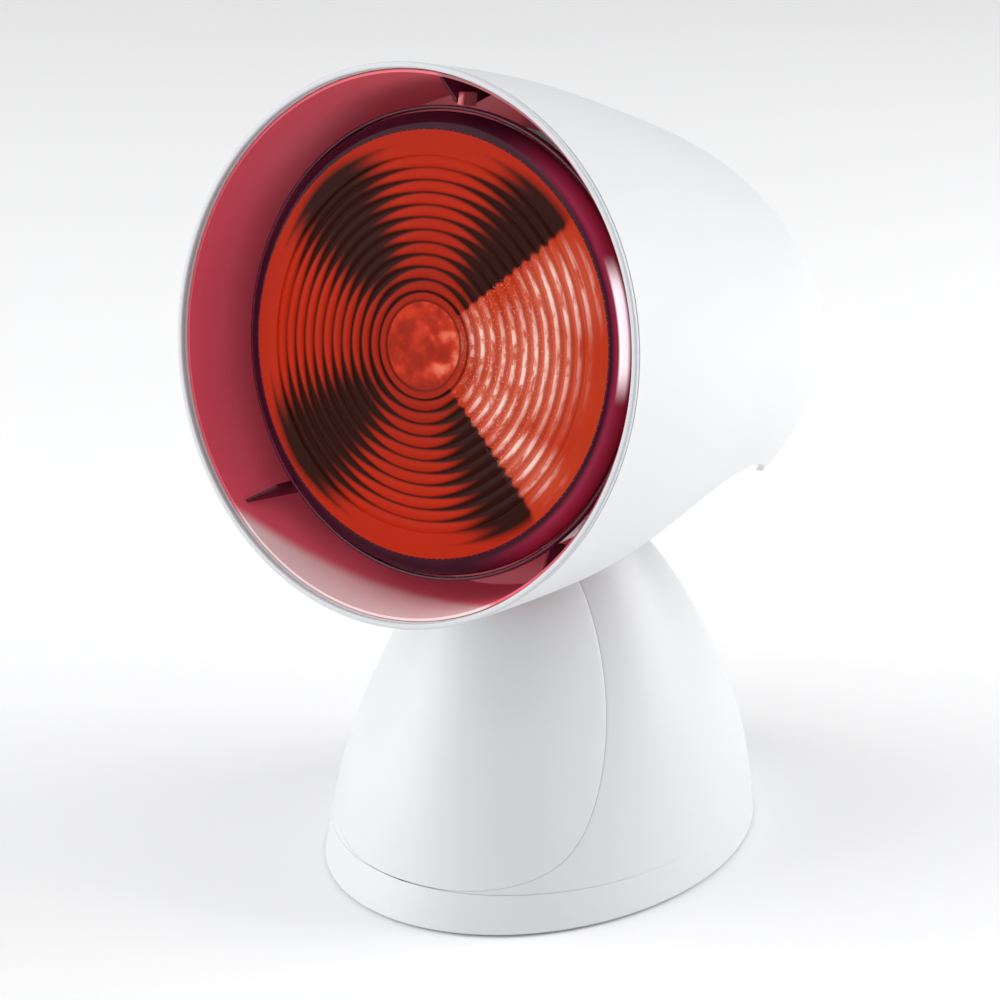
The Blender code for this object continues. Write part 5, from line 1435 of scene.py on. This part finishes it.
def gland_ring():
    """Return one ring of the nose with a radius of one millimetre round its middle."""
    corners = [(1.0, 0.07), (1.0, -0.07), (0.86, -0.09), (0.86, 0.09)]
    outline = rounded_outline([(r * MM, h * MM) for r, h in corners], 0.03 * MM)
    return turned("gland_ring", outline, Matrix(), 64, closed=True)


gland = put("cord_gland_smooth", gland_mesh(), "stand", RUBBER, ("cord_gland",))
ring_places = [(0, v * MM, 0) for v in spread(3.6, 6.8, GLAND_RINGS)]
ring_sizes = spread(5.1, 4.6, GLAND_RINGS)
rings = repeated("gland_rings", gland_ring(), ring_places, RUBBER, INLET_PLACE, ring_sizes)
gland_rings = put("gland_rings", rings, "stand", RUBBER)
print("gland placed")

# %% Feet and base screws
FOOT_PLACES = [(x, y, 0) for x in (-35.5 * MM, 35.5 * MM) for y in (-40 * MM, 40 * MM)]
TURN_DOWN = Matrix.Rotation(math.pi / 2, 4, "X")


def foot_source():
    """Return one rubber foot with a grooved tread."""
    sole = []
    for r in (3.8, 4.3, 4.5, 4.9, 5.1, 5.5, 5.7, 6.1):
        sole.append((r * MM, 0.25 * MM if r in (4.5, 4.9, 5.7) else 0))
    outline = [(3.8 * MM, 1.7 * MM), *sole, (6.5 * MM, 0.5 * MM), (6.4 * MM, 1.7 * MM)]
    return turned("foot_source", outline, TURN_DOWN, 48, closed=True)


def screw_source():
    """Return one pan head screw, head down, with a cross recess."""
    outline = [
        (0, 0.4 * MM), (1.3 * MM, 0.05 * MM), (2.4 * MM, 0), (2.8 * MM, 0.25 * MM), (3.0 * MM, 0.7 * MM),
        (3.0 * MM, 1.2 * MM), (1.5 * MM, 1.2 * MM), (1.5 * MM, 11 * MM), (0.4 * MM, 12.2 * MM),
        (0, 12.2 * MM),
    ]
    mesh = turned("screw_source", outline, TURN_DOWN, 32)
    holder = put("screw_tool", mesh)
    for half in ((1.7 * MM, 0.3 * MM), (0.3 * MM, 1.7 * MM)):
        low, high = (-half[0], -half[1], -1 * MM), (half[0], half[1], 0.75 * MM)
        combine(holder, "DIFFERENCE", block(low, high, Matrix()))
    cut = holder.data
    bpy.data.objects.remove(holder)
    return cut


feet_mesh = repeated("feet_treaded", foot_source(), FOOT_PLACES, RUBBER, LAMP)
feet_nodes = [f"foot_{end}_{side}" for end in ("front", "rear") for side in ("left", "right")]
feet = put("feet_treaded", feet_mesh, "stand", RUBBER, feet_nodes)
screw_places = [(x, y, 0.5 * MM) for x, y, _ in FOOT_PLACES]
screws_mesh = repeated("base_screws_recessed", screw_source(), screw_places, STEEL, LAMP)
screw_nodes = [f"base_screw_{end}_{side}" for end in ("front", "rear") for side in ("left", "right")]
screws = put("base_screws_recessed", screws_mesh, "stand", STEEL, screw_nodes)
print("feet and screws:", len(feet.data.polygons), len(screws.data.polygons), "faces")

# %% [markdown]
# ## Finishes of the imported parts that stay
# What sits inside, such as the mast, the hinge and the lamp holder, has the right shape already. Each of
# those parts keeps its mesh and gets a better material in its slot.

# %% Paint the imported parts
PACKED_FINISHES = {
    "bottom_plate": GREY, "ballast_plate": IRON, "mast": STEEL, "yoke": STEEL, "gland_nut": GREY,
    "terminal_block": WHITE, "switch_lead": BLACK, "riser_lead": GREY, "shade_lead": GREY,
    "bulb_cap": NICKEL, "bulb_insulator": CERAMIC, "bulb_contact": BRASS, "bulb_stem": CERAMIC,
    "bulb_filament": NICKEL, "socket_body": CERAMIC, "socket_sleeve": BRASS, "socket_tongue": BRASS,
    "socket_stirrup": STEEL, "hinge_bracket": STEEL,
}
for name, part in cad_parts.items():
    finish = PACKED_FINISHES.get(name, STEEL)
    for item in part.material_slots:
        item.material = finish.material
print("painted:", len(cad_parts))
